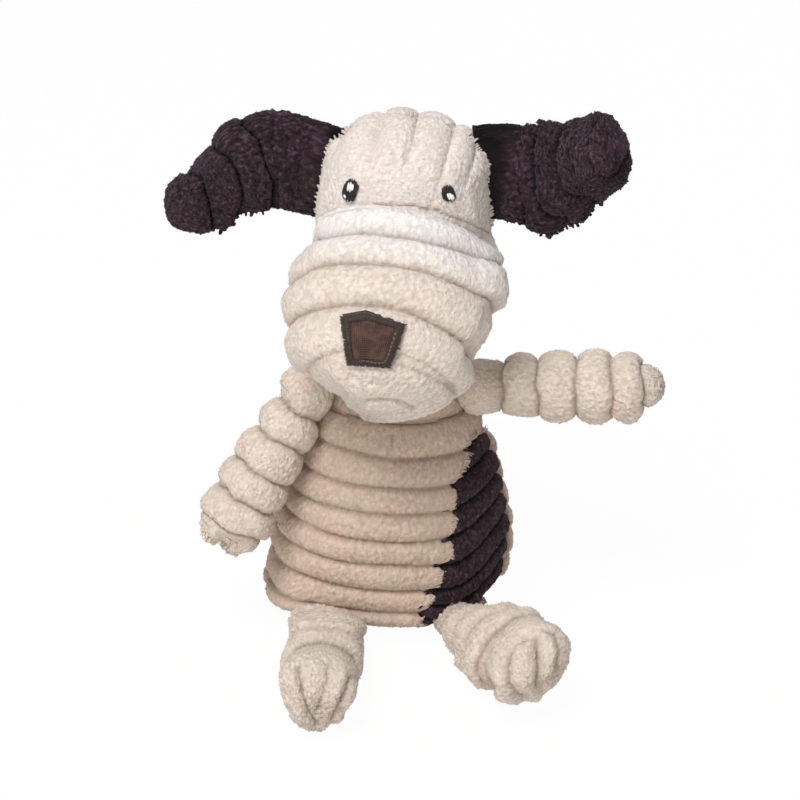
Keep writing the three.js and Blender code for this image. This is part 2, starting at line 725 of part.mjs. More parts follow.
function addLimb(name, limb, pose) {
  const group = new THREE.Group();
  group.name = `${name}_frame`;
  group.applyMatrix4(frameToward(pose.hinge, pose.toward));
  group.updateMatrix();
  toy.add(group);
  const toLocal = group.matrix.clone().invert();
  const keepOut = transformed(torsoKeepOut, toLocal);
  const path = line([-limb.rootRadius, 0, 0], [limb.length, 0, 0]);
  const ribbon = seamRibbon(path, Z, limb.halfWidth * 2);
  addStuffed(group, name, (options) => limbForm(limb, options), ribbon, (solid) => solid.subtract(keepOut), cream);
}

function addEar(name, pose) {
  const group = new THREE.Group();
  group.name = `${name}_frame`;
  const lean = inRadians(ear.lean);
  const share = (pose.up + neck.ballRadius) / skull.height;
  const out = skullSizes(share)[0] - skull.ribDepth + ear.rootHalfThickness;
  const toward = [pose.side * Math.cos(lean), 0, Math.sin(lean)];
  group.applyMatrix4(frameToward([pose.side * out, 0, pose.up], toward));
  headGroup.add(group);
  const path = earPath(pose);
  const form = (options) => softForm(ear, path, Z, earSizes(pose), options);
  addStuffed(group, name, form, seamRibbon(path, Z, ear.halfWidth * 1.2), (solid) => solid, aubergine);
}

addTorso();
addSqueaker();
addPiece(toy, "neck_seam_thread", neckThread(), seamThread);
addHead();
addLimb("arm_left", arm, armLeft);
addLimb("arm_right", arm, armRight);
addLimb("leg_left", leg, legLeft);
addLimb("leg_right", leg, legRight);
addEar("ear_left", earLeft);
addEar("ear_right", earRight);

export default toy;
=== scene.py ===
import math

import bpy
import numpy as np
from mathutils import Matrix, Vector
from mathutils.bvhtree import BVHTree


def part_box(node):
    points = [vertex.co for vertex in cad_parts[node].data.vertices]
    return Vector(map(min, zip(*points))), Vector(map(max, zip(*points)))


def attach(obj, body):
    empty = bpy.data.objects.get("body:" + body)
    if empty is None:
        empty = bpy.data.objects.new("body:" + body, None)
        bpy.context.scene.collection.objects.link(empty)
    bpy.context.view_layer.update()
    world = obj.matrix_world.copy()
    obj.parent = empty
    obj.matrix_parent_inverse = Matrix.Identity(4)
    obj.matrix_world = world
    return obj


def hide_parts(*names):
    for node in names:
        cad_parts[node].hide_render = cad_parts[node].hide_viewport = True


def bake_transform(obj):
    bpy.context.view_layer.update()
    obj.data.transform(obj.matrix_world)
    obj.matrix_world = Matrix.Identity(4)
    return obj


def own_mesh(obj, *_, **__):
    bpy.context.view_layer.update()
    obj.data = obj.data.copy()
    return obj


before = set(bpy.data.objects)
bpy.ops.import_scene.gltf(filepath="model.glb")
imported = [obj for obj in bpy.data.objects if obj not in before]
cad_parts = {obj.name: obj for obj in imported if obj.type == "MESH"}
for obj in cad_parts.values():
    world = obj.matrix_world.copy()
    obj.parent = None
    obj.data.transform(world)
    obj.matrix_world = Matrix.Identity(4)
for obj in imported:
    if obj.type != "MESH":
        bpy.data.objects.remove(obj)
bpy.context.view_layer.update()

# The corduroy dog toy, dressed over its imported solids. Lengths here are millimetres until a
# mesh is made, and shares run from 0 to 1 along a form.
MM = 0.001

# The camera of the photograph: it stands in front of the toy and looks down on it
VIEW_POINT = np.array([4.8, 0.0, 92.0])
VIEW_DISTANCE = 900.0
VIEW_ELEVATION = math.radians(25)
LENS, SENSOR = 101.25, 36.0
FRAME_PIXELS = 800
FORWARD = np.array([0, math.cos(VIEW_ELEVATION), -math.sin(VIEW_ELEVATION)])
UP = np.array([0, math.sin(VIEW_ELEVATION), math.cos(VIEW_ELEVATION)])
PIXEL = VIEW_DISTANCE * SENSOR / LENS / FRAME_PIXELS


# Numbers

def unit(v):
    return v / np.maximum(np.linalg.norm(v, axis=-1, keepdims=True), 1e-12)


def smooth(t):
    t = np.clip(t, 0, 1)
    return t * t * (3 - 2 * t)


def bump(distance, width):
    return np.exp(-((distance / width) ** 2))


def table(rows, share, blur=0.03):
    """The value of a table of (share, value) rows, with its corners blurred."""
    xs = np.linspace(-1.2, 1.3, 2501)
    ys = np.interp(xs, *zip(*rows))
    kernel = np.exp(-0.5 * (np.arange(-90, 91) * 0.001 / blur) ** 2)
    ys = np.convolve(np.pad(ys, 90, mode="edge"), kernel / kernel.sum(), mode="valid")
    return np.interp(share, xs, ys)


def opened(distance, radius):
    """How far a rounded end has opened, at a distance from it."""
    left = np.clip(1 - distance / radius, 0, 1)
    return np.sqrt(1 - left * left)


def hashed(i, j, k, seed):
    h = (i * 374761393 + j * 668265263 + k * 1440662683 + seed * 1274126177) & 0xFFFFFFFF
    h = ((h ^ (h >> 13)) * 1274126177) & 0xFFFFFFFF
    return (h ^ (h >> 16)) / 4294967295.0


def noise(p, seed=0):
    """Smooth noise from -1 to 1, with features about one unit wide."""
    q = np.floor(p).astype(np.int64)
    f = p - q
    f = f * f * (3 - 2 * f)
    total = np.zeros(len(p))
    for corner in range(8):
        step = [(corner >> bit) & 1 for bit in range(3)]
        weight = np.ones(len(p))
        for axis in range(3):
            weight = weight * (f[:, axis] if step[axis] else 1 - f[:, axis])
        total += weight * hashed(q[:, 0] + step[0], q[:, 1] + step[1], q[:, 2] + step[2], seed)
    return total * 2 - 1


def cells(p, seed=0):
    """Distance to the nearest of scattered points, one to each unit cell, and that point's own number."""
    q = np.floor(p).astype(np.int64)
    nearest, mark = np.full(len(p), 9.0), np.zeros(len(p))
    for n in range(27):
        i, j, k = (q[:, axis] + (n // 3**axis) % 3 - 1 for axis in range(3))
        d = (i + hashed(i, j, k, seed) - p[:, 0]) ** 2
        d += (j + hashed(i, j, k, seed + 1) - p[:, 1]) ** 2
        d += (k + hashed(i, j, k, seed + 2) - p[:, 2]) ** 2
        closer = d < nearest
        nearest = np.where(closer, d, nearest)
        mark = np.where(closer, hashed(i, j, k, seed + 3), mark)
    return np.sqrt(nearest), mark


def in_photo(p):
    """Where points show in the photograph's frame, in its pixels."""
    v = p - (VIEW_POINT - FORWARD * VIEW_DISTANCE)
    scale = LENS / SENSOR * FRAME_PIXELS / (v @ FORWARD)
    half = FRAME_PIXELS / 2
    return np.stack([half + v[:, 0] * scale, half - (v @ UP) * scale], axis=1)


# How far a move reaches in pixels, the weight of standing still, and a gain that makes up for that weight
MOVE_REACH = 9.5
STILL_WEIGHT = 0.12
MOVE_GAIN = 1.08


def nudged(p, moves):
    """Points moved as the photograph shows them: each move is a pixel and its shift, which fade together."""
    xy = in_photo(p)
    total, shift = np.full(len(p), STILL_WEIGHT), np.zeros((len(p), 2))
    for x, y, right, down in moves:
        weight = bump(np.hypot(xy[:, 0] - x, xy[:, 1] - y), MOVE_REACH)
        total += weight
        shift += weight[:, None] * np.array([right, down])
    shift *= MOVE_GAIN * PIXEL / total[:, None]
    return p + shift[:, :1] * np.array([1.0, 0, 0]) - shift[:, 1:] * UP


def within(xy, corners):
    """Whether points lie inside a closed outline."""
    inside = np.zeros(len(xy), bool)
    for (x0, y0), (x1, y1) in zip(corners, corners[1:] + corners[:1]):
        spans = (y0 > xy[:, 1]) != (y1 > xy[:, 1])
        inside ^= spans & (xy[:, 0] < x0 + (xy[:, 1] - y0) * (x1 - x0) / (y1 - y0 + 1e-9))
    return inside


def to_line(xy, line):
    """Distance of points from a drawn line of points, in the line's own units."""
    best = np.full(len(xy), 1e9)
    for a, b in zip(np.array(line, float)[:-1], np.array(line, float)[1:]):
        t = np.clip(((xy - a) @ (b - a)) / ((b - a) @ (b - a)), 0, 1)
        best = np.minimum(best, np.linalg.norm(xy - a - t[:, None] * (b - a), axis=1))
    return best


# Frames

def turn(axis, degrees):
    a = math.radians(degrees)
    c, s = math.cos(a), math.sin(a)
    return {
        "x": np.array([[1, 0, 0], [0, c, -s], [0, s, c]]),
        "y": np.array([[c, 0, s], [0, 1, 0], [-s, 0, c]]),
        "z": np.array([[c, -s, 0], [s, c, 0], [0, 0, 1]]),
    }[axis]


# The centre of the neck's round end, and the radius of the room that it turns in
NECK = np.array([5.0, 0.0, 117.0])
NECK_ROOM = 19.4
HEAD = (turn("z", -6.8) @ turn("y", 2.7), NECK)
WORLD = (np.eye(3), np.zeros(3))


def placed(p, at):
    return p @ at[0].T + at[1]


def toward(place, direction):
    """A frame at a place with its X along a direction, as the solids' limbs have it."""
    along = unit(np.array(direction, float))
    through = np.array([0.0, -1.0 if along[0] < 0 else 1.0, 0.0])
    if abs(along[1]) > abs(along[0]):
        through = np.array([1.0, 0, 0])
    through = unit(through - along * (through @ along))
    return np.stack([along, through, np.cross(along, through)], axis=1), np.array(place, float)


class Path:
    """A line through points, with the directions across and through a form that follows it."""

    def __init__(self, points, across):
        p = np.array(points, float)
        if len(p) > 2:
            p = rounded_line(p)
        self.p = p
        self.run = np.concatenate([[0], np.cumsum(np.linalg.norm(np.diff(p, axis=0), axis=1))])
        self.length = self.run[-1]
        self.hint = np.array(across, float)

    def at(self, share):
        inside = np.clip(share, 0, 1) * self.length
        place = np.stack([np.interp(inside, self.run, self.p[:, k]) for k in range(3)], axis=1)
        tangents = unit(np.gradient(self.p, axis=0))
        along = unit(np.stack([np.interp(inside, self.run, tangents[:, k]) for k in range(3)], axis=1))
        place = place + along * ((share - np.clip(share, 0, 1)) * self.length)[:, None]
        across = unit(self.hint - along * (along @ self.hint)[:, None])
        return place, across, np.cross(along, across), along


def rounded_line(p, steps=60):
    """A smooth line through points, of the centripetal kind that the solids' ears follow."""
    ends = [p[0] * 2 - p[1], *p, p[-1] * 2 - p[-2]]
    made = []
    for a, b, c, d in zip(ends, ends[1:], ends[2:], ends[3:]):
        t = np.cumsum([0] + [max(np.linalg.norm(v - u), 1e-4) ** 0.5 for u, v in ((a, b), (b, c), (c, d))])
        for u in np.linspace(t[1], t[2], steps, endpoint=False):
            ab = (a * (t[1] - u) + b * (u - t[0])) / (t[1] - t[0])
            bc = (b * (t[2] - u) + c * (u - t[1])) / (t[2] - t[1])
            cd = (c * (t[3] - u) + d * (u - t[2])) / (t[3] - t[2])
            abc = (ab * (t[2] - u) + bc * (u - t[0])) / (t[2] - t[0])
            bcd = (bc * (t[3] - u) + cd * (u - t[1])) / (t[3] - t[1])
            made.append((abc * (t[2] - u) + bcd * (u - t[1])) / (t[2] - t[1]))
    return np.array([*made, p[-1]])


# Surfaces

class Skin:
    """A closed grid of points round a path: rows of points, then one point at each end.

    share and angle say where a point lies on the form, flat holds it in millimetres as if the
    form's path were straight, and at is the frame that carries the form."""

    def __init__(self, path, sizes, rows, sides, at=WORLD):
        fine = 0.5 - 0.5 * np.cos(np.linspace(0, math.pi, 4001))
        width, depth, round_ = sizes(fine)
        out = (width + depth) / 2 * round_
        run = np.concatenate([[0], np.cumsum(np.hypot(np.diff(fine) * path.length, np.diff(out)))])
        share = np.interp(np.linspace(0, run[-1], rows + 2)[1:-1], run, fine)
        angle = np.arange(sides) * 2 * math.pi / sides
        place, across, through, _ = path.at(share)
        w, d, r = sizes(share)
        c, s = np.cos(angle)[None, :, None], np.sin(angle)[None, :, None]
        grid = place[:, None] + across[:, None] * (w * r)[:, None, None] * c
        grid = grid + through[:, None] * (d * r)[:, None, None] * s
        ends = path.at(np.array([0.0, 1.0]))[0]
        self.p = placed(np.concatenate([grid.reshape(-1, 3), ends]), at)
        self.share = np.concatenate([np.repeat(share, sides), [0, 1]])
        self.angle = np.concatenate([np.tile(angle, rows), [0, 0]])
        self.radius = np.concatenate([np.repeat((w + d) / 2 * r, sides), [0, 0]])
        turned = self.radius * np.cos(self.angle), self.radius * np.sin(self.angle)
        self.flat = np.stack([*turned, self.share * path.length], axis=1)
        self.length, self.at = path.length, at
        self.height, self.marks = 1.0, {}
        k, row = np.arange(sides), np.arange(rows - 1)[:, None] * sides
        after = (k + 1) % sides
        i, j = (row + k).ravel(), (row + after).ravel()
        self.quads = np.stack([i, j, j + sides, i + sides], axis=1)
        n, last = rows * sides, (rows - 1) * sides
        first = np.stack([np.full(sides, n), after, k], axis=1)
        end = np.stack([np.full(sides, n + 1), last + k, last + after], axis=1)
        self.tris = np.concatenate([first, end])

    def normals(self):
        q, t, p = self.quads, self.tris, self.p
        total = np.zeros_like(p)
        for faces, n in (
            (q, np.cross(p[q[:, 2]] - p[q[:, 0]], p[q[:, 3]] - p[q[:, 1]])),
            (t, np.cross(p[t[:, 1]] - p[t[:, 0]], p[t[:, 2]] - p[t[:, 0]])),
        ):
            for corner in faces.T:
                for axis in range(3):
                    total[:, axis] += np.bincount(corner, n[:, axis], len(p))
        return unit(total)

    def push(self, height):
        """Moves each point along its normal."""
        self.p = self.p + self.normals() * np.asarray(height)[:, None]

    def mark(self, name, value):
        self.marks[name] = np.clip(np.maximum(self.marks.get(name, 0), value), 0, 1) * np.ones(len(self.p))

    def stand(self):
        """Keeps the skin above the floor."""
        self.p[:, 2] = np.maximum(self.p[:, 2], 0)


def ribs(share, grooves, power, open_ends=True, skew=1.0):
    """Rib height from 0 in a groove to 1 on a crest, and the number of the rib.

    A groove is one share, or one for each point. With open ends, the first and last ribs are halves."""
    edges = np.array([np.zeros(len(share)) + g for g in (0.0, *grooves, 1.0)])
    last = len(edges) - 2
    i = np.clip((share > edges).sum(axis=0) - 1, 0, last)
    n = np.arange(len(share))
    low, high = edges[i, n], edges[i + 1, n]
    t = np.clip((share - low) / np.maximum(high - low, 1e-6), 0, 1) ** skew
    if open_ends:
        t = np.where(i == 0, 0.5 + t / 2, t)
        t = np.where(i == last, t / 2, t)
    return (1 - np.abs(2 * t - 1) ** power) ** 0.6, i


def groove_distance(share, grooves, length):
    d = np.full(len(share), 1e9)
    for g in grooves:
        d = np.minimum(d, np.abs(share - g) * length)
    return d


def wobble(skin, amount, seed):
    """A slow waviness of the grooves, as a shift of the share."""
    q = np.stack([np.cos(skin.angle), np.sin(skin.angle), skin.share * 6], axis=1) * 40 / 22.0
    return noise(q, seed) * amount / skin.length


def add_ribs(skin, grooves, depth, power, wave, seed, skew=1.0, keep=1, crease=(0.75, 0.5)):
    """Ribs between grooves. The crease at each groove has a half width and a depth."""
    share = skin.share + wobble(skin, wave, seed)
    height, number = ribs(share, grooves, power, skew=skew)
    fade = np.clip(skin.radius / 6, 0, 1) * keep
    own = hashed(number, 3, 0, seed) - 0.5
    lumps = noise(skin.flat / 9.0, seed + 5) * 0.35 + noise(skin.flat / 22.0, seed + 6) * 0.5
    line = bump(groove_distance(share, grooves, skin.length), crease[0]) * fade
    rise = (depth * (height - 1) + own * 0.5 * height) * fade
    skin.push(rise + lumps * (0.4 + 0.6 * height) - crease[1] * line)
    # Creases and the low sides of the ribs are marked for painted shade
    skin.mark("groove", line)
    skin.mark("low", (1 - height) * fade)
    skin.height = 1 - (1 - height) * fade


def add_pile(skin, seed, amount, size=1.45):
    """The tufts of the pile, a little longer across a rib than along it."""
    far, own = cells(skin.flat / np.array([size, size, size * 1.2]), seed + 20)
    nub = np.clip(1 - (far / 0.8) ** 2, 0, 1) * (0.6 + 0.8 * own)
    grain = hashed(np.arange(len(skin.p)), 1, 0, seed + 30) * 2 - 1
    beaded = 0.55 + 0.6 * smooth(noise(skin.flat / 13.0, seed + 40) + 0.5)
    height = 0.62 * (nub - 0.45) * beaded + 0.16 * grain
    skin.push(height * amount * (0.45 + 0.55 * skin.height))
    # Marked low between tufts and high on them: the finish paints shade in the gaps
    skin.mark("tuft", 0.5 + (nub - 0.5) * beaded)


# Pieces

def in_scene(name, data):
    made = bpy.data.objects.new(name, data)
    bpy.context.scene.collection.objects.link(made)
    return made


def piece(name, p, faces, material, marks, rest=None):
    mesh = bpy.data.meshes.new(name)
    mesh.from_pydata((np.asarray(p) * MM).tolist(), [], [tuple(f) for f in faces])
    for key, value in marks.items():
        layer = mesh.attributes.new(key, "FLOAT", "POINT")
        layer.data.foreach_set("value", np.asarray(value, np.float32))
    layer = mesh.attributes.new("rest", "FLOAT_VECTOR", "POINT")
    layer.data.foreach_set("vector", np.asarray(p if rest is None else rest, np.float32).ravel())
    mesh.polygons.foreach_set("use_smooth", np.ones(len(mesh.polygons), bool))
    mesh.materials.append(material)
    mesh.update()
    return in_scene(name, mesh)


class Lot:
    """Points and faces gathered from several small closed shapes."""

    def __init__(self):
        self.p, self.faces, self.shade = [], [], []
        self.count = 0

    def add(self, p, faces, shade):
        self.p.append(np.asarray(p, float))
        self.shade.append(np.full(len(p), shade))
        self.faces += [tuple(v + self.count for v in f) for f in faces]
        self.count += len(p)

    def arrays(self):
        return np.concatenate(self.p), np.concatenate(self.shade)

    def piece(self, name, material):
        p, shade = self.arrays()
        return piece(name, p, self.faces, material, {"tuft": shade})


# Marks that the pile finish reads: two carry painted shade, in creases and on the low sides of ribs; one the
# grain of the tufts, darker between them and at their roots as painted shade, and at random on loose tufts;
# and one a paler tone, which on the muzzle is a painted highlight
MARKS = ("groove", "low", "tuft", "pale_and_highlight")


# The share of a skin's points that bear a tuft, and the height above the floor where tufts begin
TUFT_SHARE = 0.32
TUFT_FLOOR = 1.3


def tufts(p, normals, rest, marks, length, seed):
    """Small pointed tufts over a skin: each is a closed cone of three sides set into it."""
    rng = np.random.default_rng(seed)
    pick = rng.permutation(len(p))[: int(len(p) * TUFT_SHARE)]
    pick = pick[p[pick, 2] > TUFT_FLOOR]
    n = normals[pick]
    count = len(pick)
    lean = rng.normal(size=(count, 3)) * 0.6 + np.array([0, 0, -0.3])
    way = unit(n + lean - n * (lean * n).sum(axis=1)[:, None])
    side = unit(np.cross(n, rng.normal(size=(count, 3))))
    over = np.cross(n, side)
    long = length * rng.uniform(0.6, 1.25, count)[:, None]
    wide = rng.uniform(0.3, 0.5, count)[:, None]
    root = p[pick] - n * 0.25
    turns = (0, 2 * math.pi / 3, 4 * math.pi / 3)
    corners = [root + wide * (side * math.cos(a) + over * math.sin(a)) for a in turns]
    points = np.stack([*corners, root + way * long], axis=1).reshape(-1, 3)
    first = np.arange(count)[:, None] * 4
    faces = np.concatenate([first + np.array(f) for f in ((0, 1, 3), (1, 2, 3), (2, 0, 3), (0, 2, 1))])
    made = {k: np.repeat(marks[k][pick], 4) for k in MARKS}
    # Each tuft is marked low at its root and high at its tip, for painted shade at the root
    made["tuft"] = np.tile([0.1, 0.1, 0.1, 1.0], count) * np.repeat(rng.uniform(0.5, 1, count), 4)
    return points, faces.tolist(), np.repeat(rest[pick], 4, axis=0), made


def skin_piece(name, skin, material, field=None, centre=None, extra=None, tuft_length=0.72):
    """A skin as a piece. With a field, only the part where it is positive, closed behind."""
    p, quads, tris = skin.p, skin.quads, skin.tris
    marks = {k: skin.marks.get(k, np.zeros(len(p))) for k in MARKS}
    rest, normals = skin.flat, skin.normals()
    caps = []
    if field is not None:
        quads = quads[field[quads].mean(axis=1) > 0]
        tris = tris[field[tris].mean(axis=1) > 0]
        used = np.unique(np.concatenate([quads.ravel(), tris.ravel()]))
        new = np.full(len(p), -1)
        new[used] = np.arange(len(used))
        quads, tris = new[quads], new[tris]
        p, rest, normals = p[used], rest[used], normals[used]
        marks = {k: v[used] for k, v in marks.items()}
        edges = np.concatenate(
            [quads[:, [0, 1]], quads[:, [1, 2]], quads[:, [2, 3]], quads[:, [3, 0]]]
            + [tris[:, [0, 1]], tris[:, [1, 2]], tris[:, [2, 0]]]
        )
        n = len(p)
        key, back = edges[:, 0] * n + edges[:, 1], edges[:, 1] * n + edges[:, 0]
        rim = edges[~np.isin(key, back)]
        middle = p[rim.ravel()].mean(axis=0) if centre is None else np.array(centre, float)
        p = np.concatenate([p, [middle]])
        rest = np.concatenate([rest, [rest[rim.ravel()].mean(axis=0)]])
        marks = {k: np.append(v, 0) for k, v in marks.items()}
        caps = np.stack([rim[:, 1], rim[:, 0], np.full(len(rim), n)], axis=1).tolist()
    faces = quads.tolist() + tris.tolist() + caps
    more = [tufts(p[: len(normals)], normals, rest, marks, tuft_length, len(p))]
    if extra is not None and extra.count:
        places, shade = extra.arrays()
        own = {k: np.zeros(len(places)) for k in MARKS}
        own["tuft"] = shade
        more.append((places, extra.faces, places, own))
    for places, corners, resting, own in more:
        faces += [tuple(v + len(p) for v in f) for f in corners]
        p, rest = np.concatenate([p, places]), np.concatenate([rest, resting])
        marks = {k: np.concatenate([v, own[k]]) for k, v in marks.items()}
    return piece(name, p, faces, material, marks, rest)


def lock(lot, root, direction, normal, length, width, rng, bend):
    """One tapered tuft of pile, closed at both ends."""
    direction, normal = unit(direction), unit(normal)
    side = unit(np.cross(direction, normal))
    lift = np.cross(side, direction)
    rings = []
    for share, thick in ((-0.15, 0.8), (0.35, 1.0), (0.85, 0.75)):
        centre = root + direction * length * share + lift * bend * length * share**2
        radius = width / 2 * thick
        for c, s in ((1, 0), (0, 1), (-1, 0), (0, -1)):
            rings.append(centre + radius * (side * c + lift * 0.7 * s))
    tip = root + direction * length + lift * bend * length + side * rng.normal() * width * 0.3
    faces = [(3, 2, 1, 0)]
    for ring in (0, 4):
        for k in range(4):
            a, b = ring + k, ring + (k + 1) % 4
            faces.append((a, b, b + 4, a + 4))
    faces += [(8 + k, 8 + (k + 1) % 4, 12) for k in range(4)]
    p = np.array([*rings, tip])
    turned = np.cross(direction, side) @ lift < 0
    lot.add(p, [f[::-1] for f in faces] if turned else faces, shade=rng.uniform(0.3, 1))


THREAD_SIDES = 6
THREAD_FLATNESS = 0.8


def strand(lot, points, radius, normal, shade):
    """A thread along points: a closed tube with rounded ends."""
    points = np.array(points, float)
    along = unit(np.gradient(points, axis=0))
    side = unit(np.cross(along, normal))
    lift = np.cross(side, along)
    share = np.linspace(0, 1, len(points))
    taper = np.sqrt(np.clip(1 - np.abs(2 * share - 1) ** 6, 0.15, 1))
    sides = THREAD_SIDES
    p = []
    for k in range(len(points)):
        for n in range(sides):
            a = 2 * math.pi * n / sides
            out = side[k] * math.cos(a) + lift[k] * THREAD_FLATNESS * math.sin(a)
            p.append(points[k] + radius * taper[k] * out)
    faces = []
    for k in range(len(points) - 1):
        for n in range(sides):
            a, b = k * sides + n, k * sides + (n + 1) % sides
            faces.append((a, a + sides, b + sides, b))
    faces.append(tuple(range(sides)))
    faces.append(tuple((len(points) - 1) * sides + n for n in reversed(range(sides))))
    lot.add(p, faces, shade)


# Materials

def rgb(text):
    """A written colour as the linear colour that a shader takes."""
    parts = [int(text[k:k + 2], 16) / 255 for k in (1, 3, 5)]
    return (*[c / 12.92 if c <= 0.04045 else ((c + 0.055) / 1.055) ** 2.4 for c in parts], 1)


class Nodes:
    """A node tree under way, with short calls for its nodes."""

    def __init__(self, tree):
        self.tree = tree

    def node(self, kind, inputs, out=0, **settings):
        made = self.tree.nodes.new(kind)
        for key, value in settings.items():
            setattr(made, key, value)
        for key, value in inputs.items():
            if isinstance(value, bpy.types.NodeSocket):
                self.tree.links.new(value, made.inputs[key])
            else:
                made.inputs[key].default_value = value
        return made.outputs[out]

    def rays(self):
        return self.tree.nodes.new("ShaderNodeLightPath").outputs

    def math(self, kind, a, b):
        return self.node("ShaderNodeMath", {0: a, 1: b}, operation=kind)


class Finish(Nodes):
    """A material under way."""

    def __init__(self, name, **shader):
        self.material = bpy.data.materials.new(name)
        self.material.use_nodes = True
        super().__init__(self.material.node_tree)
        self.shader = self.tree.nodes["Principled BSDF"]
        for key, value in shader.items():
            self.shader.inputs[key.replace("_", " ")].default_value = value

    def mark(self, name):
        return self.node("ShaderNodeAttribute", {}, "Fac", attribute_name=name)

    def rest(self, stretch=(1, 1, 1), offset=(0, 0, 0)):
        where = self.node("ShaderNodeAttribute", {}, "Vector", attribute_name="rest")
        return self.node("ShaderNodeVectorMath", {0: where, 1: stretch, 2: offset}, operation="MULTIPLY_ADD")

    def noise(self, where, scale, detail, rough=0.5):
        inputs = {"Vector": where, "Scale": scale, "Detail": detail, "Roughness": rough}
        return self.node("ShaderNodeTexNoise", inputs)

    def cells(self, where, scale):
        return self.node("ShaderNodeTexVoronoi", {"Vector": where, "Scale": scale}, feature="F1")

    def spread(self, value, low, high, to_low=0.0, to_high=1.0):
        inputs = {"Value": value, 1: low, 2: high, 3: to_low, 4: to_high}
        return self.node("ShaderNodeMapRange", inputs, interpolation_type="SMOOTHSTEP")

    def mix(self, share, a, b, kind="MIX"):
        return self.node("ShaderNodeMix", {0: share, 6: a, 7: b}, 2, data_type="RGBA", blend_type=kind)

    def colour(self, value):
        self.tree.links.new(value, self.shader.inputs["Base Color"])

    def relief(self, height, distance, strength):
        inputs = {"Height": height, "Distance": distance * MM, "Strength": strength}
        self.tree.links.new(self.node("ShaderNodeBump", inputs), self.shader.inputs["Normal"])


def pile_finish(
    name, base, dark, warm, cool, tip,
    sheen=0.2, tint=(1, 0.97, 0.93, 1), grain=(0.83, 1.04), bumps=0.75, painted_shade=(0.3, 0.4),
):
    """Short pile: blotches, a grain of tufts with painted shade between them, a paler tone that is partly a
    painted highlight, and grooves that go down into painted shade.
    """
    f = Finish(
        name, Roughness=0.95, Sheen_Weight=sheen, Sheen_Roughness=0.55, Sheen_Tint=tint,
        Specular_IOR_Level=0.15,
    )
    where = f.rest()
    across = f.rest((1, 1, 0.8), (7, 3, 1))
    fine = f.noise(across, 1.3, 3, 0.65)
    nub = f.cells(across, 0.8)
    colour = f.mix(f.spread(f.noise(where, 0.055, 2), 0.42, 0.72), rgb(base), rgb(warm))
    colour = f.mix(f.spread(f.noise(f.rest((1, 1, 1), (31, 17, 5)), 0.08, 3), 0.5, 0.8), colour, rgb(cool))
    colour = f.mix(f.spread(f.noise(across, 0.9, 2), 0.45, 0.72, 0, 0.5), colour, rgb(tip))
    # Paler towards near white where marked: an even lighter tone on the skull, a painted highlight on the top
    # of the muzzle
    colour = f.mix(f.math("MULTIPLY", f.mark("pale_and_highlight"), 0.75), colour, rgb("#f8f5f4"))
    # The grain darkens the gaps and roots of the tufts as painted shade, and varies at random with the fine
    # noise
    mixed = f.math("ADD", f.math("MULTIPLY", fine, 0.55), f.math("MULTIPLY", f.mark("tuft"), 0.55))
    shade = f.spread(mixed, 0.3, 0.8, grain[0], grain[1])
    grey = f.node("ShaderNodeCombineColor", {0: shade, 1: shade, 2: shade})
    colour = f.mix(0.999, colour, grey, "MULTIPLY")
    # The dark colour is painted shade, lightly over the low sides of the ribs and more in the grooves
    colour = f.mix(f.spread(f.mark("low"), 0.1, 1.0, 0, painted_shade[0]), colour, rgb(dark))
    colour = f.mix(f.spread(f.mark("groove"), 0.2, 1.0, 0, painted_shade[1]), colour, rgb(dark))
    f.colour(colour)
    height = f.math("SUBTRACT", fine, f.math("MULTIPLY", nub, 0.55))
    f.relief(height, 0.75, bumps)
    return f.material


def thread_finish(name, base, light, rough=0.55):
    f = Finish(name, Roughness=rough, Sheen_Weight=0.1, Specular_IOR_Level=0.3)
    twist = f.noise(f.rest((1, 1, 1), (3, 9, 2)), 2.4, 2, 0.6)
    f.colour(f.mix(f.spread(twist, 0.35, 0.75), rgb(base), rgb(light)))
    f.relief(twist, 0.15, 0.5)
    return f.material


def weave_finish(name, base, dark, light):
    f = Finish(name, Roughness=0.85, Sheen_Weight=0.05, Specular_IOR_Level=0.2)
    where = f.rest()
    smudge = f.noise(where, 0.22, 3, 0.6)
    wave = {"Vector": where, "Scale": 0.42, "Distortion": 0.6}
    weave = f.math("MAXIMUM", *[f.node("ShaderNodeTexWave", wave, 1, bands_direction=d) for d in "XZ"])
    colour = f.mix(f.spread(smudge, 0.42, 0.58), rgb(base), rgb(dark))
    colour = f.mix(f.spread(weave, 0.3, 1.0, 0, 0.4), colour, rgb(light))
    f.colour(colour)
    f.relief(weave, 0.12, 0.6)
    return f.material


def plastic_finish(name, base, light, rough):
    f = Finish(name, Roughness=rough, Transmission_Weight=0.25, IOR=1.45)
    where = f.rest()
    f.colour(f.mix(f.spread(f.noise(where, 30.0, 2), 0.4, 0.7), rgb(base), rgb(light)))
    f.relief(f.noise(where, 120.0, 2), 0.05, 0.3)
    return f.material


# The second colour of each pile is the painted shade of its grooves and the low sides of its ribs
CREAM = pile_finish("cream_pile", "#e1d3c6", "#806c58", "#e3cfc2", "#e0d3c4", "#f0e7da")
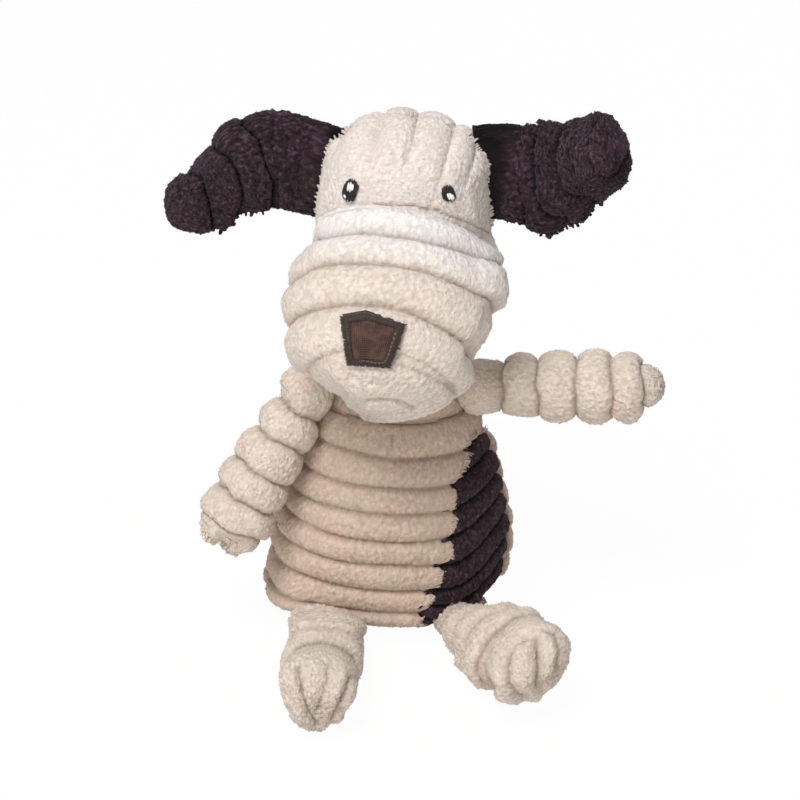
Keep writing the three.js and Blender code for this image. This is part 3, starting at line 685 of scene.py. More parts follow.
# The torso's pile is a warmer, darker copy of the cream: its darkness is painted shade from the head above
SHADED_BODY = pile_finish("shaded_body_pile", "#d1bba9", "#7c6752", "#d5baab", "#d2c1ae", "#dfd2bf", painted_shade=(0.18, 0.3))
WHITE = pile_finish(
    "white_pile", "#e3d6ca", "#87715e", "#e2d0c4", "#dfd6cb", "#f1e8df", tint=(1, 0.98, 0.96, 1)
)
DARK = pile_finish(
    "aubergine_pile", "#271c20", "#070405", "#34232b", "#241c1b", "#5e4954",
    sheen=0.14, tint=(0.8, 0.66, 0.74, 1), grain=(0.4, 1.5), bumps=0.95, painted_shade=(0.75, 0.95),
)
FIBRE = pile_finish("fibre_wadding", "#f1efe9", "#c9c4ba", "#f4efe6", "#e8e8e6", "#ffffff", tint=(1, 1, 1, 1))
NOSE = weave_finish("nose_weave", "#4c362e", "#2b1c17", "#6b544a")
BROWN_THREAD = thread_finish("brown_satin", "#1c110c", "#45342a")
GREY_THREAD = thread_finish("fine_grey_thread", "#57483f", "#75675b")
BLACK_THREAD = thread_finish("black_satin", "#0b0706", "#2a221e", 0.42)
WHITE_THREAD = thread_finish("white_satin", "#efece6", "#ffffff", 0.45)
SEAM_THREAD = thread_finish("seam_cotton", "#cbbba5", "#e6dac7", 0.8)


# Torso

TORSO_HEIGHT, TORSO_LEAN = 108.5, 4.3
TORSO_HALF_WIDTH, TORSO_HALF_DEPTH = 51, 39
TORSO_FOOT_ROUND, TORSO_TOP_ROUND = 14, 11
# How far the side seam's plane stands in front of the middle, and how far it leans back over its height
SEAM_FORWARD, SEAM_LEAN = 12, 15
TORSO_GROOVES = (0.05, 0.145, 0.235, 0.335, 0.432, 0.53, 0.63, 0.74, 0.865)
TORSO_WIDTH = (
    (0, 1), (0.14, 1), (0.22, 0.985), (0.39, 0.935), (0.52, 0.87), (0.62, 0.805), (0.73, 0.725),
    (0.82, 0.65), (0.92, 0.54), (1, 0.42),
)
TORSO_DEPTH = ((0, 1), (0.15, 1), (0.39, 0.95), (0.52, 0.88), (0.73, 0.74), (0.92, 0.56), (1, 0.45))
torso_path = Path([(0, 0, -0.5), (TORSO_LEAN, 0, TORSO_HEIGHT - 0.5)], (1, 0, 0))


def torso_sizes(share):
    up = share * TORSO_HEIGHT
    round_ = opened(up, TORSO_FOOT_ROUND) * opened(TORSO_HEIGHT - up, TORSO_TOP_ROUND)
    return TORSO_HALF_WIDTH * table(TORSO_WIDTH, share), TORSO_HALF_DEPTH * table(TORSO_DEPTH, share), round_


def behind_seam(p):
    """How far behind the side seam's plane a point lies."""
    return p[:, 1] + SEAM_FORWARD - SEAM_LEAN * p[:, 2] / TORSO_HEIGHT


# The left edge of the dark patch as it shows in the photograph: pixel row, pixel column
PATCH_EDGE = (
    (431, 486), (436, 475), (442, 471), (457, 468), (472, 462), (480, 456), (491, 456), (510, 453),
    (517, 457), (528, 454), (538, 451), (550, 453), (559, 450), (566, 441), (573, 441), (591, 434),
    (602, 432), (608, 426), (618, 420),
)


def patch_inside(p):
    """How far inside the dark patch a point lies, in photograph pixels."""
    xy = in_photo(p)
    rows, columns = zip(*PATCH_EDGE)
    edge = np.interp(xy[:, 1], rows, columns)
    return np.minimum(xy[:, 0] - edge, (xy[:, 1] - 431) * 0.8 + 2)


# Where the photograph shows the torso's outline away from its solid
TORSO_MOVES = (
    (268, 556, 0, 0), (268, 570, -4, 0), (271, 582, -6, 0), (278, 594, -12, 0), (288, 604, -18, 0),
    (302, 612, -20, 0), (325, 620, -8, 0), (492, 446, 6, 0), (497, 464, 5, 0), (500, 480, 5, 0),
    (504, 496, 5, 0), (506, 512, 5, 0), (509, 528, 4, 0), (512, 544, 1, 0), (512, 560, -2, 0),
    (511, 572, -6, 0), (509, 584, -12, -1), (504, 596, -20, -2),
)


# How the cloth is tucked in under the lower back corner on the left
TUCK = np.array([-12.0, 0, 5.0])


def torso_skin():
    skin = Skin(torso_path, torso_sizes, 185, 470)
    skin.p = nudged(skin.p, TORSO_MOVES)
    x, y, z = skin.p.T
    tuck = smooth((15 - z) / 15) * smooth((x - 20) / 20) * smooth((y + 24) / 22)
    skin.p = skin.p + tuck[:, None] * TUCK
    return skin


def make_room(skin):
    """Dishes the torso's top, so that the neck's round end turns in it."""
    from_neck = skin.p - NECK
    away = np.linalg.norm(from_neck, axis=1, keepdims=True)
    skin.p = NECK + from_neck * np.maximum(away, NECK_ROOM) / away


def build_torso():
    rng = np.random.default_rng(11)
    skin = torso_skin()
    base = skin.p.copy()
    behind = behind_seam(base)
    inside = patch_inside(base)
    shown = (behind < 2) & (base[:, 0] > 0)
    add_ribs(skin, TORSO_GROOVES, 3.0, 2.1, 0.9, seed=1, crease=(1.5, 0.2))
    xy = in_photo(skin.p)
    front = base[:, 1] < -8
    pucker = bump(to_line(xy, [(393, 434), (392, 447)]), 2.2) * front
    tooth = noise(base / 1.4, 77) * 4.0 + (skin.height - 0.5) * 5
    sunk = smooth((inside - tooth + 1) / 5) * shown
    seam = bump(behind, 1.7)
    skin.push(-1.1 * pucker - 4.2 * sunk - 2.4 * seam)
    # Painted shade along the pucker and the side seam
    skin.mark("groove", np.maximum(0.8 * pucker, 0.75 * seam))
    add_pile(skin, 1, 1.0)
    skin.stand()
    make_room(skin)
    # The rib round the neck goes with the back, because it stays in place when the belly is pressed
    collar = (skin.share + wobble(skin, 0.9, 1) - TORSO_GROOVES[-1]) * TORSO_HEIGHT
    kept = np.maximum(behind, collar)
    teeth = patch_teeth(base, skin, rng)
    return {
        "body_front_cover": skin_piece("body_front_cover", skin, SHADED_BODY, -kept, extra=teeth),
        "body_back_cover": skin_piece("body_back_cover", skin, SHADED_BODY, kept),
    }


def patch_teeth(base, skin, rng):
    """Cream tufts that stand over the edge of the dark patch."""
    lot = Lot()
    normals = skin.normals()
    shown = (behind_seam(base) < -1) & (base[:, 0] > 0)
    near = np.where((np.abs(patch_inside(base) + 1) < 1.4) & shown & (base[:, 2] > 2))[0]
    for k in rng.permutation(near)[:380]:
        if skin.height[k] < 0.45:
            continue
        n = normals[k]
        direction = np.array([0.9, -0.1, rng.normal() * 0.35])
        direction = direction - n * (direction @ n)
        length = rng.uniform(1.4, 3.4)
        lock(lot, skin.p[k] + n * 0.1, direction, n, length, rng.uniform(0.6, 1.0), rng, -0.12)
    return lot


# The patch's diagonal grooves: where each meets the patch's left side, in rows of the photograph
PATCH_GROOVES = (484, 513.1, 540.8, 567.8, 591.7, 607, 622)
PATCH_TOP, PATCH_SPAN = 430, 215


def build_patch():
    rng = np.random.default_rng(12)
    skin = torso_skin()
    base = skin.p.copy()
    xy = in_photo(base)
    inside, behind = patch_inside(base), behind_seam(base)
    bend = xy[:, 1] + 0.0118 * (xy[:, 0] - 440) ** 2 + noise(base / 16, 3) * 1.4
    grooves = [(v - PATCH_TOP) / PATCH_SPAN for v in PATCH_GROOVES]
    height, number = ribs((bend - PATCH_TOP) / PATCH_SPAN, grooves, 2.5)
    gap = np.min([np.abs(bend - v) for v in PATCH_GROOVES], axis=0) * 0.4
    crease = bump(gap, 0.8)
    own = hashed(number, 5, 0, 4) - 0.5
    tooth = noise(base / 1.5, 78) * 1.6
    edge = smooth(1 - (inside + tooth + 0.5) / 4.5)
    seam = smooth((behind + 3.6) / 3.2)
    rise = 0.2 + 3.0 * (height - 1) + own * 0.5
    skin.push(rise - 0.6 * crease - 2.6 * edge - 2.6 * seam + noise(base / 8, 8) * 0.35)
    skin.height = height
    # Painted shade in the patch's creases and on the low sides of its ribs
    skin.mark("groove", crease)
    skin.mark("low", 1 - height)
    skin.flat = tilted_rest(base)
    add_pile(skin, 2, 1.2)
    skin.stand()
    field = np.minimum(inside + 6, -behind * 2.5)
    field = np.where(base[:, 0] > 0, field, -1)
    teeth = dark_teeth(base, skin, rng)
    return skin_piece("side_patch_cover", skin, DARK, field, centre=(12, -14, 40), extra=teeth)


def tilted_rest(base):
    """Resting places turned so that their Z runs across the diagonal ribs of the patch."""
    c, s = math.cos(math.radians(38)), math.sin(math.radians(38))
    return np.stack([base[:, 0] * c + base[:, 2] * s, base[:, 1], base[:, 2] * c - base[:, 0] * s], axis=1)


def dark_teeth(base, skin, rng):
    """Dark tufts that reach left where a cream groove meets the patch."""
    lot = Lot()
    rows = in_photo(base)[:, 1]
    edge = (np.abs(patch_inside(base)) < 2.5) & (behind_seam(base) < -1) & (base[:, 0] > 0)
    normals = skin.normals()
    for row in (480, 510, 540, 567, 592, 607):
        near = np.where((np.abs(rows - row) < 3) & edge)[0]
        for k in rng.permutation(near)[:7]:
            n = normals[k]
            direction = np.array([-1, -0.3, -0.15 + rng.normal() * 0.15])
            length = rng.uniform(2.2, 4)
            lock(lot, skin.p[k] + n * 1.5, direction, n, length, rng.uniform(0.8, 1.3), rng, 0.0)
    return lot


# Limbs

# Each limb's hinge, and the way it points
LIMBS = {
    "arm_left": ((38, -5, 100), (1, -0.09, 0.05)),
    "arm_right": ((-30, -11, 100), (-0.53, -0.3, -0.83)),
    "leg_left": ((27, -30, 10.5), (0.42, -0.9, 0.15)),
    "leg_right": ((-24, -32, 10.2), (-0.03, -1, 0.085)),
}
LEFT_ARM_GROOVES = (0.236, 0.403, 0.584, 0.76, 0.922)
RIGHT_ARM_GROOVES = (0.218, 0.385, 0.557, 0.714, 0.874)
ARM_WIDTH = (
    (0, 0.8), (0.16, 0.82), (0.28, 0.89), (0.45, 0.95), (0.7, 1), (0.84, 1.01), (0.93, 0.9), (1, 0.8),
)
LEG_GROOVES = (0.2, 0.36, 0.52, 0.68)
LEG_WIDTH = ((0, 0.566), (0.11, 0.566), (0.22, 0.72), (0.45, 0.88), (0.75, 1), (0.9, 1), (1, 0.84))
ARM = {"length": 71, "root": 12, "half": 14.8, "tip": 13, "width": ARM_WIDTH, "depth": 3.4}
LEG = {"length": 78, "root": 9.5, "half": 16.8, "tip": 10, "width": LEG_WIDTH, "depth": 3.6}


def limb_skin(limb, hinge, way, rows, sides):
    full = limb["length"] + limb["root"]

    def sizes(share):
        half = limb["half"] * table(limb["width"], share)
        return half, half, opened(share * full, limb["root"]) * opened(full - share * full, limb["tip"])

    path = Path([(-limb["root"], 0, 0), (limb["length"], 0, 0)], (0, 0, 1))
    return Skin(path, sizes, rows, sides, toward(hinge, way))


# Where the photograph shows each limb's outline away from its solid: pixels, and the shift there
LIMB_MOVES = {
    "arm_left": (
        (624, 350, 0, 3), (640, 352, 0, 3), (654, 360, -1, 2), (663, 376, 0, 0), (665, 387, 0, 0),
        (662, 398, 0, 0), (655, 408, -1, -1), (645, 415, 0, -3), (630, 420, 0, 1), (606, 421, 0, 1),
        (518, 420, 0, -4), (490, 416, 0, -2),
    ),
    "arm_right": (
        (268, 396, 6, 0), (250, 422, 5, 0), (236, 442, 2, 0), (222, 464, 3, 0), (206, 486, 5, 0),
        (199, 506, 1, 0), (195, 520, 2, 0), (194, 532, 3, 0), (198, 544, 8, -2), (212, 554, 8, -2),
        (232, 560, 8, -2), (246, 556, 10, -1), (258, 544, 9, 0), (262, 530, 8, 0), (270, 512, 5, 0),
        (280, 494, 2, 0),
    ),
    "leg_left": (
        (450, 652, 1, 0), (464, 668, -5, 1), (478, 682, -5, 2), (498, 697, -6, 1), (515, 702, -4, 0),
        (535, 704, -2, -4), (554, 698, -6, -6), (568, 686, -9, -5), (574, 672, -8, -3),
        (574, 660, -4, -3), (569, 648, 2, -3), (561, 638, 5, -4), (548, 629, 7, -6), (530, 618, 6, -9),
        (515, 612, 3, -6),
    ),
    "leg_right": (
        (300, 614, -16, 0), (293, 626, -6, 0), (287, 638, 0, 0), (279, 662, 0, 0), (278, 674, 0, 0),
        (274, 686, 5, 0), (273, 698, 9, -1), (281, 710, 5, -1), (293, 722, 0, 0), (308, 733, -1, -3),
        (320, 738, 0, -6), (328, 733, 1, -4), (340, 722, 0, 0), (353, 710, -4, -1), (361, 698, -6, -1),
        (361, 686, -2, 0), (362, 668, 0, 0), (361, 650, 2, 0), (359, 638, 3, 0), (356, 625, 11, 0),
        (345, 612, 10, 0),
    ),
}


def build_arm(name, grooves, seed, shift, ragged):
    """An arm, moved a little from its solid. A ragged one has loose cut edges at its tip."""
    rng = np.random.default_rng(seed)
    hinge, way = LIMBS[name]
    skin = limb_skin(ARM, np.array(hinge) + shift, way, 150, 170)
    skin.p = nudged(skin.p, LIMB_MOVES[name])
    add_ribs(skin, grooves, ARM["depth"], 2.0, 1.3, seed)
    seam = bump(skin.flat[:, 1], 1.0) * (skin.share > 0.15)
    tip = smooth((skin.share - 0.87) / 0.08)
    skin.push(-0.5 * seam + ragged * tip * (noise(skin.flat / 5.5, seed + 3) * 2.2 - 0.4))
    add_pile(skin, seed, 1.1)
    lot = Lot()
    if ragged:
        normals = skin.normals()
        end = np.where((skin.share > 0.93) & (skin.share < 0.995))[0]
        for k in rng.permutation(end)[:46]:
            direction = skin.at[0][:, 0] + normals[k] * 0.3 + rng.normal(size=3) * 0.45
            length = rng.uniform(1.0, 2.2)
            lock(lot, skin.p[k], direction, normals[k], length, rng.uniform(1.6, 2.6), rng, 0.1)
    return skin_piece(name + "_cover", skin, CREAM, extra=lot)


def build_leg(name, seed, lines, point, lift, back):
    """A leg whose end face has its own upright ribs, drawn as they show in the photograph.

    point narrows the lower half of the foot, lift raises it, and back moves it in under the foot."""
    skin = limb_skin(LEG, *LIMBS[name], 160, 190)
    q = local(skin, skin.p)
    below = np.clip(-q[:, 2] / LEG["half"], 0, 1)
    foot = smooth((skin.share - 0.5) / 0.35)
    thigh = 1 - smooth((skin.share - 0.2) / 0.3)
    q[:, 1] *= 1 - point * below * foot
    q[:, 2] *= np.where(q[:, 2] < 0, 1 - lift * foot, 1 - 0.32 * thigh)
    q[:, 0] -= back * below * foot
    skin.p = nudged(placed(q, skin.at), LIMB_MOVES[name])
    add_ribs(skin, LEG_GROOVES, LEG["depth"], 2.0, 1.2, seed, crease=(1.1, 0.3))
    xy = in_photo(skin.p)
    facing = smooth(-skin.normals()[:, 1] * 4 + 0.6) * smooth((skin.share - 0.6) / 0.15)
    valley, drawn = np.zeros(len(xy)), np.zeros(len(xy))
    for line, width, depth in lines:
        away = to_line(xy, line)
        valley = np.maximum(valley, bump(away, width * 3.6) * depth)
        drawn = np.maximum(drawn, bump(away, width) * depth)
    skin.push((-0.95 * valley - 0.4 * drawn) * facing)
    skin.height = skin.height * (1 - facing * np.clip(valley, 0, 1) * 0.5)
    # Painted shade in the creases of the sole
    skin.mark("low", facing * valley * 0.35)
    skin.mark("groove", drawn * facing * 0.5)
    add_pile(skin, seed, 1.2)
    skin.stand()
    return skin_piece(name + "_cover", skin, CREAM)


# Creases on the soles, in photograph pixels: the line, its half width, and its depth
RIGHT_SOLE = (
    ([(296, 652), (295.5, 664), (297, 678), (302, 700), (309, 716), (316, 727)], 1.7, 2.2),
    ([(354, 658), (354.5, 672), (350, 689), (341, 708), (331, 724)], 1.7, 2.0),
    ([(329, 662), (328, 678), (324, 693), (317, 709)], 3.0, 1.4),
    ([(296, 654), (308, 646), (326, 643), (343, 648), (354, 658)], 1.8, 1.0),
    ([(309, 637), (317, 636), (325, 634)], 1.4, 0.7),
)
LEFT_SOLE = (
    ([(482, 648), (480, 662), (482, 676), (490, 691)], 2.0, 1.9),
    ([(508, 652), (505.5, 668), (508, 686), (516, 698), (524, 700)], 2.2, 2.2),
    ([(536, 638), (539.5, 652), (540.5, 668), (539, 686)], 2.2, 2.2),
    ([(508, 651), (514, 643), (524, 638), (536, 637)], 1.8, 1.4),
    ([(546, 628), (557, 633), (563, 650), (560, 668)], 1.8, 1.6),
    ([(460, 640), (458, 652), (464, 666)], 1.8, 1.3),
)


# Head

SKULL_BULGE = (
    (0, 0), (0.157, 0), (0.25, 0.38), (0.38, 0.75), (0.5, 0.93), (0.63, 1), (0.73, 0.98), (0.83, 0.87),
    (0.93, 0.68), (1, 0.45),
)
SKULL_BOTTOM, SKULL_TOP = -18, 95
SKULL_LENGTH = SKULL_TOP - SKULL_BOTTOM
# The skull's radius at the neck, and how much more it has across and through where it is widest
SKULL_NECK, SKULL_ACROSS, SKULL_THROUGH = 18, 17, 12
skull_path = Path([(0, 0, SKULL_BOTTOM), (0, 0, SKULL_TOP)], (1, 0, 0))


def skull_sizes(share):
    up = share * SKULL_LENGTH
    bulge = table(SKULL_BULGE, share)
    round_ = opened(up, 18) * opened(SKULL_LENGTH - up, 16)
    return SKULL_NECK + SKULL_ACROSS * bulge, SKULL_NECK + SKULL_THROUGH * bulge, round_


SNOUT_GROOVES = (0.14, 0.31, 0.52, 0.82)
SNOUT_WIDTH = ((0, 0.75), (0.15, 0.84), (0.33, 1), (0.5, 0.965), (0.7, 0.86), (0.86, 0.7), (1, 0.5))
SNOUT_DEPTH = ((0, 0.9), (0.2, 0.93), (0.45, 1), (0.7, 0.96), (0.86, 0.86), (1, 0.66))
SNOUT_LENGTH, SNOUT_DROOP = 79, 49
snout_root = np.array([3, -12, 55.5])
snout_droop = math.radians(SNOUT_DROOP)
snout_along = turn("z", -9) @ np.array([0, -math.cos(snout_droop), -math.sin(snout_droop)])
snout_path = Path([snout_root, snout_root + snout_along * SNOUT_LENGTH], (1, 0, 0))


def snout_sizes(share):
    along = share * SNOUT_LENGTH
    round_ = opened(along, 8) * opened(SNOUT_LENGTH - along, 18)
    return 43.3 * table(SNOUT_WIDTH, share), 30 * table(SNOUT_DEPTH, share), round_


def local(skin, p):
    return (p - skin.at[1]) @ skin.at[0]


# Where the photograph shows the head's outline away from its solids
HEAD_MOVES = (
    (495, 190, -3, 0), (497, 205, -5, 0), (499, 220, -7, 0), (499, 234, -5, 0), (497, 246, 1, -1),
    (495, 258, 9, -2), (498, 271, 9, -3), (504, 286, 5, -2), (507, 302, 0, 0), (503, 316, -7, -2),
    (499, 330, -7, -3), (497, 342, -10, -4), (490, 354, -12, -4), (482, 366, -6, -2), (470, 384, -2, 0),
    (296, 242, 4, 0), (290, 252, 10, 0), (286, 263, 7, 0), (285, 276, 3, 0), (284, 292, 0, 0),
    (299, 366, 0, 0), (308, 378, 3, -3), (319, 393, 6, -6), (332, 406, 7, -9), (350, 416, 3, -6),
    (368, 422, 0, 0),
)

# Where the crown is sewn to the muzzle, and a small pucker in it, in photograph pixels
BROW_LINES = (
    [(322, 217), (340, 211), (359, 207.5), (385, 205.5), (413, 206), (435, 211), (466, 222), (492, 233)],
    [(414, 205), (424, 211), (440, 210.5)],
)


def brow_line(skin):
    xy = in_photo(skin.p)
    front = smooth(-skin.normals()[:, 1] * 3 + 0.5)
    return np.max([bump(to_line(xy, line), 1.5) for line in BROW_LINES], axis=0) * front


# The crown's grooves, in millimetres from its middle. The middle one runs down to the brow
CROWN_GROOVES = (-27, -12, 2, 17.5, 29)
CROWN_MIDDLE = 2
CROWN_EDGE = 40


def build_skull():
    rng = np.random.default_rng(21)
    skin = Skin(skull_path, skull_sizes, 190, 330, HEAD)
    skin.p = nudged(skin.p, HEAD_MOVES)
    q = local(skin, skin.p)
    z = q[:, 2]
    back = smooth(q[:, 1] / 9)
    top = np.maximum(smooth((z - 70) / 20), 0.75 * back * smooth((z - 6) / 18))
    sway = noise(q / 14, 23) * 0.8 + 6.5 * (1 - smooth((z - 64) / 26)) * (1 - back)
    side = q[:, 0] + sway
    grooves = [(v + CROWN_EDGE) / (2 * CROWN_EDGE) for v in CROWN_GROOVES]
    height, _ = ribs((side + CROWN_EDGE) / (2 * CROWN_EDGE), grooves, 2.0, False)
    gap = [np.abs(side - v) + (v == CROWN_MIDDLE) * (1 - top) * 9 for v in CROWN_GROOVES]
    height = 1 - (1 - height) * np.clip(np.abs(side - CROWN_MIDDLE) / 10, top, 1)
    crease = bump(np.min(gap, axis=0), 1.2) * (0.1 + 0.6 * top) * np.maximum(smooth((z - 68) / 12), back)
    upper = np.maximum(smooth((z - 40) / 25), back)
    lift = (noise(q / 11, 24) * 0.5 + noise(q / 26, 25) * 0.6) * smooth((z + 4) / 12)
    seam = bump(q[:, 1], 1.6) * smooth((z - 2) / 10)
    brow = brow_line(skin)
    skin.push(((0.3 + 2.2 * top) * (height - 1)) * upper + lift - 0.4 * crease - 1.6 * seam - 0.9 * brow)
    q = local(skin, skin.p)
    q[:, 0] -= 1.8 * smooth((q[:, 0] - 10) / 22) * smooth((q[:, 2] - 55) / 20)
    skin.p = placed(q, skin.at)
    skin.height = 1 - (1 - height) * 0.4
    # Painted shade in the crown's creases, its back seam and the brow seam, and a little on the low sides of
    # its ribs. The paler mark is the skull's own even tone
    skin.mark("groove", np.max([0.35 * crease, 0.6 * seam, 0.9 * brow], axis=0))
    skin.mark("low", (1 - height) * 0.3 * upper * top)
    skin.mark("pale_and_highlight", 0.42)
    skin.flat = np.stack([q[:, 2], q[:, 1], q[:, 0]], axis=1)
    add_pile(skin, 5, 0.9)
    behind = local(skin, skin.p)[:, 1]
    return {
        "crown_cover": skin_piece("crown_cover", skin, WHITE, -behind, extra=ear_seam_teeth(skin, rng)),
        "head_back_cover": skin_piece("head_back_cover", skin, WHITE, behind),
    }


def ear_seam_teeth(skin, rng):
    """Cut ends of the crown's ribs, which stand out along both ear seams."""
    lot = Lot()
    q, n = local(skin, skin.p), skin.normals() @ skin.at[0]
    for side, low, high, count in ((-1, 52, 88, 90), (1, 53, 88, 100)):
        seam = (q[:, 0] * side > 12) & (np.abs(q[:, 1] + 2.4) < 1.6)
        near = np.where(seam & (q[:, 2] > low) & (q[:, 2] < high))[0]
        for k in rng.permutation(near)[:count]:
            direction = np.array([side * 0.55, 0.8, rng.normal() * 0.25])
            tuft = Lot()
            length = rng.uniform(1.8, 3.2)
            lock(tuft, q[k] + n[k] * 0.2, direction, n[k], length, rng.uniform(0.7, 1.15), rng, 0.1)
            lot.add(placed(tuft.p[0], skin.at), tuft.faces, rng.uniform(0.4, 1))
    return lot


# How far each groove of the muzzle moves towards the tip, across from its right side to its left
SNOUT_ACROSS = (-1, -0.7, -0.42, 0, 0.3, 0.72, 1)
SNOUT_SHIFTS = (
    (0.09, 0.08, 0.06, 0.055, 0.045, 0.03, 0.01),
    (0.13, 0.08, 0.051, 0.03, 0.02, 0.045, 0.075),
    (0.13, 0.085, 0.051, 0.03, 0.035, 0.07, 0.10),
    (0.05, 0.02, -0.02, -0.065, -0.065, -0.04, -0.02),
)


# Folds of the muzzle in photograph pixels: the line, its half width, and its depth
MUZZLE_FOLDS = (
    ([(366, 401.5), (382, 400.5), (396, 401.5), (406, 405), (415, 409)], 2.4, 1.5),
    ([(352, 379), (366, 384), (384, 385)], 3.0, 0.7),
    ([(402, 366), (420, 372), (437, 382), (454, 388)], 4.5, 1.3),
)


def build_snout():
    skin = Skin(snout_path, snout_sizes, 165, 390, HEAD)
    skin.p = nudged(skin.p, HEAD_MOVES)
    across, share = np.cos(skin.angle), skin.share
    shifts = [table(list(zip(SNOUT_ACROSS, row)), across, 0.06) for row in SNOUT_SHIFTS]
    grooves = [g + shift for g, shift in zip(SNOUT_GROOVES, shifts)]
    keep = 1 - 0.4 * smooth((share - 0.66) / 0.1)
    add_ribs(skin, grooves, 3.2 + 0.9 * np.abs(across), 2.0, 0.9, 31, keep=keep, crease=(0.9, 0.4))
    xy = in_photo(skin.p)
    front = skin.normals()[:, 1] < 0.2
    folds = [bump(to_line(xy, line), width) * depth * front for line, width, depth in MUZZLE_FOLDS]
    drawn = np.max(folds, axis=0)
    upper = skin.flat[:, 1]
    seam = bump(upper, 1.5) * smooth((share - 0.1) / 0.1) * smooth((1 - share) / 0.1)
    brow = brow_line(skin)
    skin.push(-drawn - 0.9 * seam - 0.9 * brow)
    # Painted shade in the folds, the lower seam and the brow seam
    skin.mark("groove", np.max([0.5 * drawn, 0.35 * seam, 0.9 * brow], axis=0))
    add_pile(skin, 6, 0.85)
    # Paler towards the root of the muzzle under the brow: a painted highlight where the light falls on its
    # top
    skin.mark("pale_and_highlight", 1 - smooth((share - 0.16) / 0.26))
    return {
        "muzzle_cover": skin_piece("muzzle_cover", skin, WHITE, upper + 1e-3, tuft_length=0.6),
        "chin_cover": skin_piece("chin_cover", skin, WHITE, -upper - 1e-3, tuft_length=0.6),
    }


# Ears

# The ears' overlapping lips: the share along the ear, how it slants, and how it curls round the tip
EAR_LIPS = {
    "ear_left": ((0.12, -0.03, 0), (0.23, 0, 0.02), (0.37, 0, 0.13)),
    "ear_right": ((0.32, 0.065, 0.035), (0.49, -0.07, 0.14), (0.71, -0.06, 0.08)),
}

# The same lips as they show in the photograph, and the pixels that close each beyond the tip
EAR_LOBES = {
    "ear_left": (
        [(524, 60), (525, 130), (514, 152), (514, 168), (518, 186), (524, 211), (528, 260)],
        [
            (558, 60), (539, 126), (534, 148), (533, 179), (536, 200), (543, 213), (554, 218), (564, 217),
            (580, 235),
        ],
        [
            (592, 60), (571, 117), (560, 135), (556, 154), (557, 174), (564, 190), (575, 197), (590, 196),
            (610, 215),
        ],
        [
            (628, 60), (604, 115), (594, 125), (588.5, 139), (589.5, 160), (596, 174), (608, 179),
            (620, 167), (633, 142), (640, 110),
        ],
    ),
    "ear_right": (
        [(236, 60), (239, 124), (257, 141), (265, 169), (273, 187), (271, 205), (272, 240)],
        [(170, 100), (211, 151), (226, 159), (237, 177), (242, 200), (233, 228), (236, 260)],
        [(140, 140), (182, 172), (198, 179), (207, 202), (212, 230), (212, 260)],
    ),
}
EAR_BEYOND = {"ear_left": [(700, 260), (700, 60)], "ear_right": [(100, 260), (100, 60)]}
EAR_THICK = ((0, 0.3), (0.05, 0.34), (0.12, 0.48), (0.28, 0.8), (0.5, 0.98), (0.8, 0.9), (1, 0.75))
EAR_LENGTH, EAR_HALF_WIDTH, EAR_HALF_THICK, EAR_TIP = 62, 21.5, 10, 12
# The depth of the skull's ribs, which the ear's root sits under, and half the thickness of that root
SKULL_RIB, EAR_ROOT_HALF = 0.8, 0.5
EAR_LEAN = math.radians(12)
# fade is the shaded root's share, and fringe the shares between which there are cut ends, and their number
EARS = {
    "ear_left": {
        "side": 1, "up": 73.5, "relief": 4.6, "fade": 0.09, "fringe": (0.26, 0.6, 60),
        "bends": (
            (0, 0, 0), (0.06, 0, 0), (0.16, 0, -0.03), (0.32, 0.005, -0.055), (0.485, 0.065, -0.03),
            (0.64, 0.19, 0.02), (0.73, 0.34, 0.07), (0.77, 0.49, 0.115),
        ),
        "width": ((0, 0.8), (0.16, 0.85), (0.3, 1.06), (0.48, 1.06), (0.71, 0.9), (0.89, 0.8), (1, 0.7)),
        "upper": (
            (0, 1.16), (0.1, 1.13), (0.2, 1.07), (0.3, 0.98), (0.5, 0.94), (0.7, 1.02), (0.8, 1.12),
            (0.9, 1.22), (1, 1.3),
        ),
        "lower": (
            (0, 1.05), (0.3, 1.05), (0.4, 0.84), (0.5, 0.7), (0.6, 0.61), (0.7, 0.54), (0.8, 0.5),
            (1, 0.5),
        ),
    },
    "ear_right": {
        "side": -1, "up": 70, "relief": 3.8, "fade": 0.04, "fringe": (0.3, 0.95, 26),
        "bends": (
            (0, 0, 0), (0.06, 0, 0), (0.27, 0, -0.02), (0.47, 0, -0.08), (0.59, 0, -0.22),
            (0.69, 0, -0.38), (0.77, 0, -0.53), (0.83, 0, -0.65),
        ),
        "width": ((0, 0.76), (0.2, 0.86), (0.43, 0.95), (0.58, 0.78), (0.73, 0.68), (0.87, 0.55), (1, 0.45)),
        "upper": (
            (0, 1.1), (0.1, 1.06), (0.3, 0.98), (0.4, 0.84), (0.5, 0.71), (0.6, 0.66), (0.7, 0.71),
            (0.8, 0.89), (0.9, 1), (1, 1),
        ),
        "lower": (
            (0, 1.22), (0.1, 1.17), (0.2, 1.11), (0.3, 1.08), (0.5, 1.1), (0.7, 1.12), (0.8, 1.2),
            (0.9, 1.12), (1, 0.9),
        ),
    },
}


# A fold down the right ear, in photograph pixels
EAR_FOLD = [(274, 118), (272, 150), (277, 175), (278, 207)]


def ear_frame(pose):
    bulge = np.interp((pose["up"] - SKULL_BOTTOM) / SKULL_LENGTH, *zip(*SKULL_BULGE))
    out = SKULL_NECK + SKULL_ACROSS * bulge - SKULL_RIB + EAR_ROOT_HALF
    place = (pose["side"] * out, 0, pose["up"])
    turned, origin = toward(place, (pose["side"] * math.cos(EAR_LEAN), 0, math.sin(EAR_LEAN)))
    return HEAD[0] @ turned, placed(origin, HEAD)


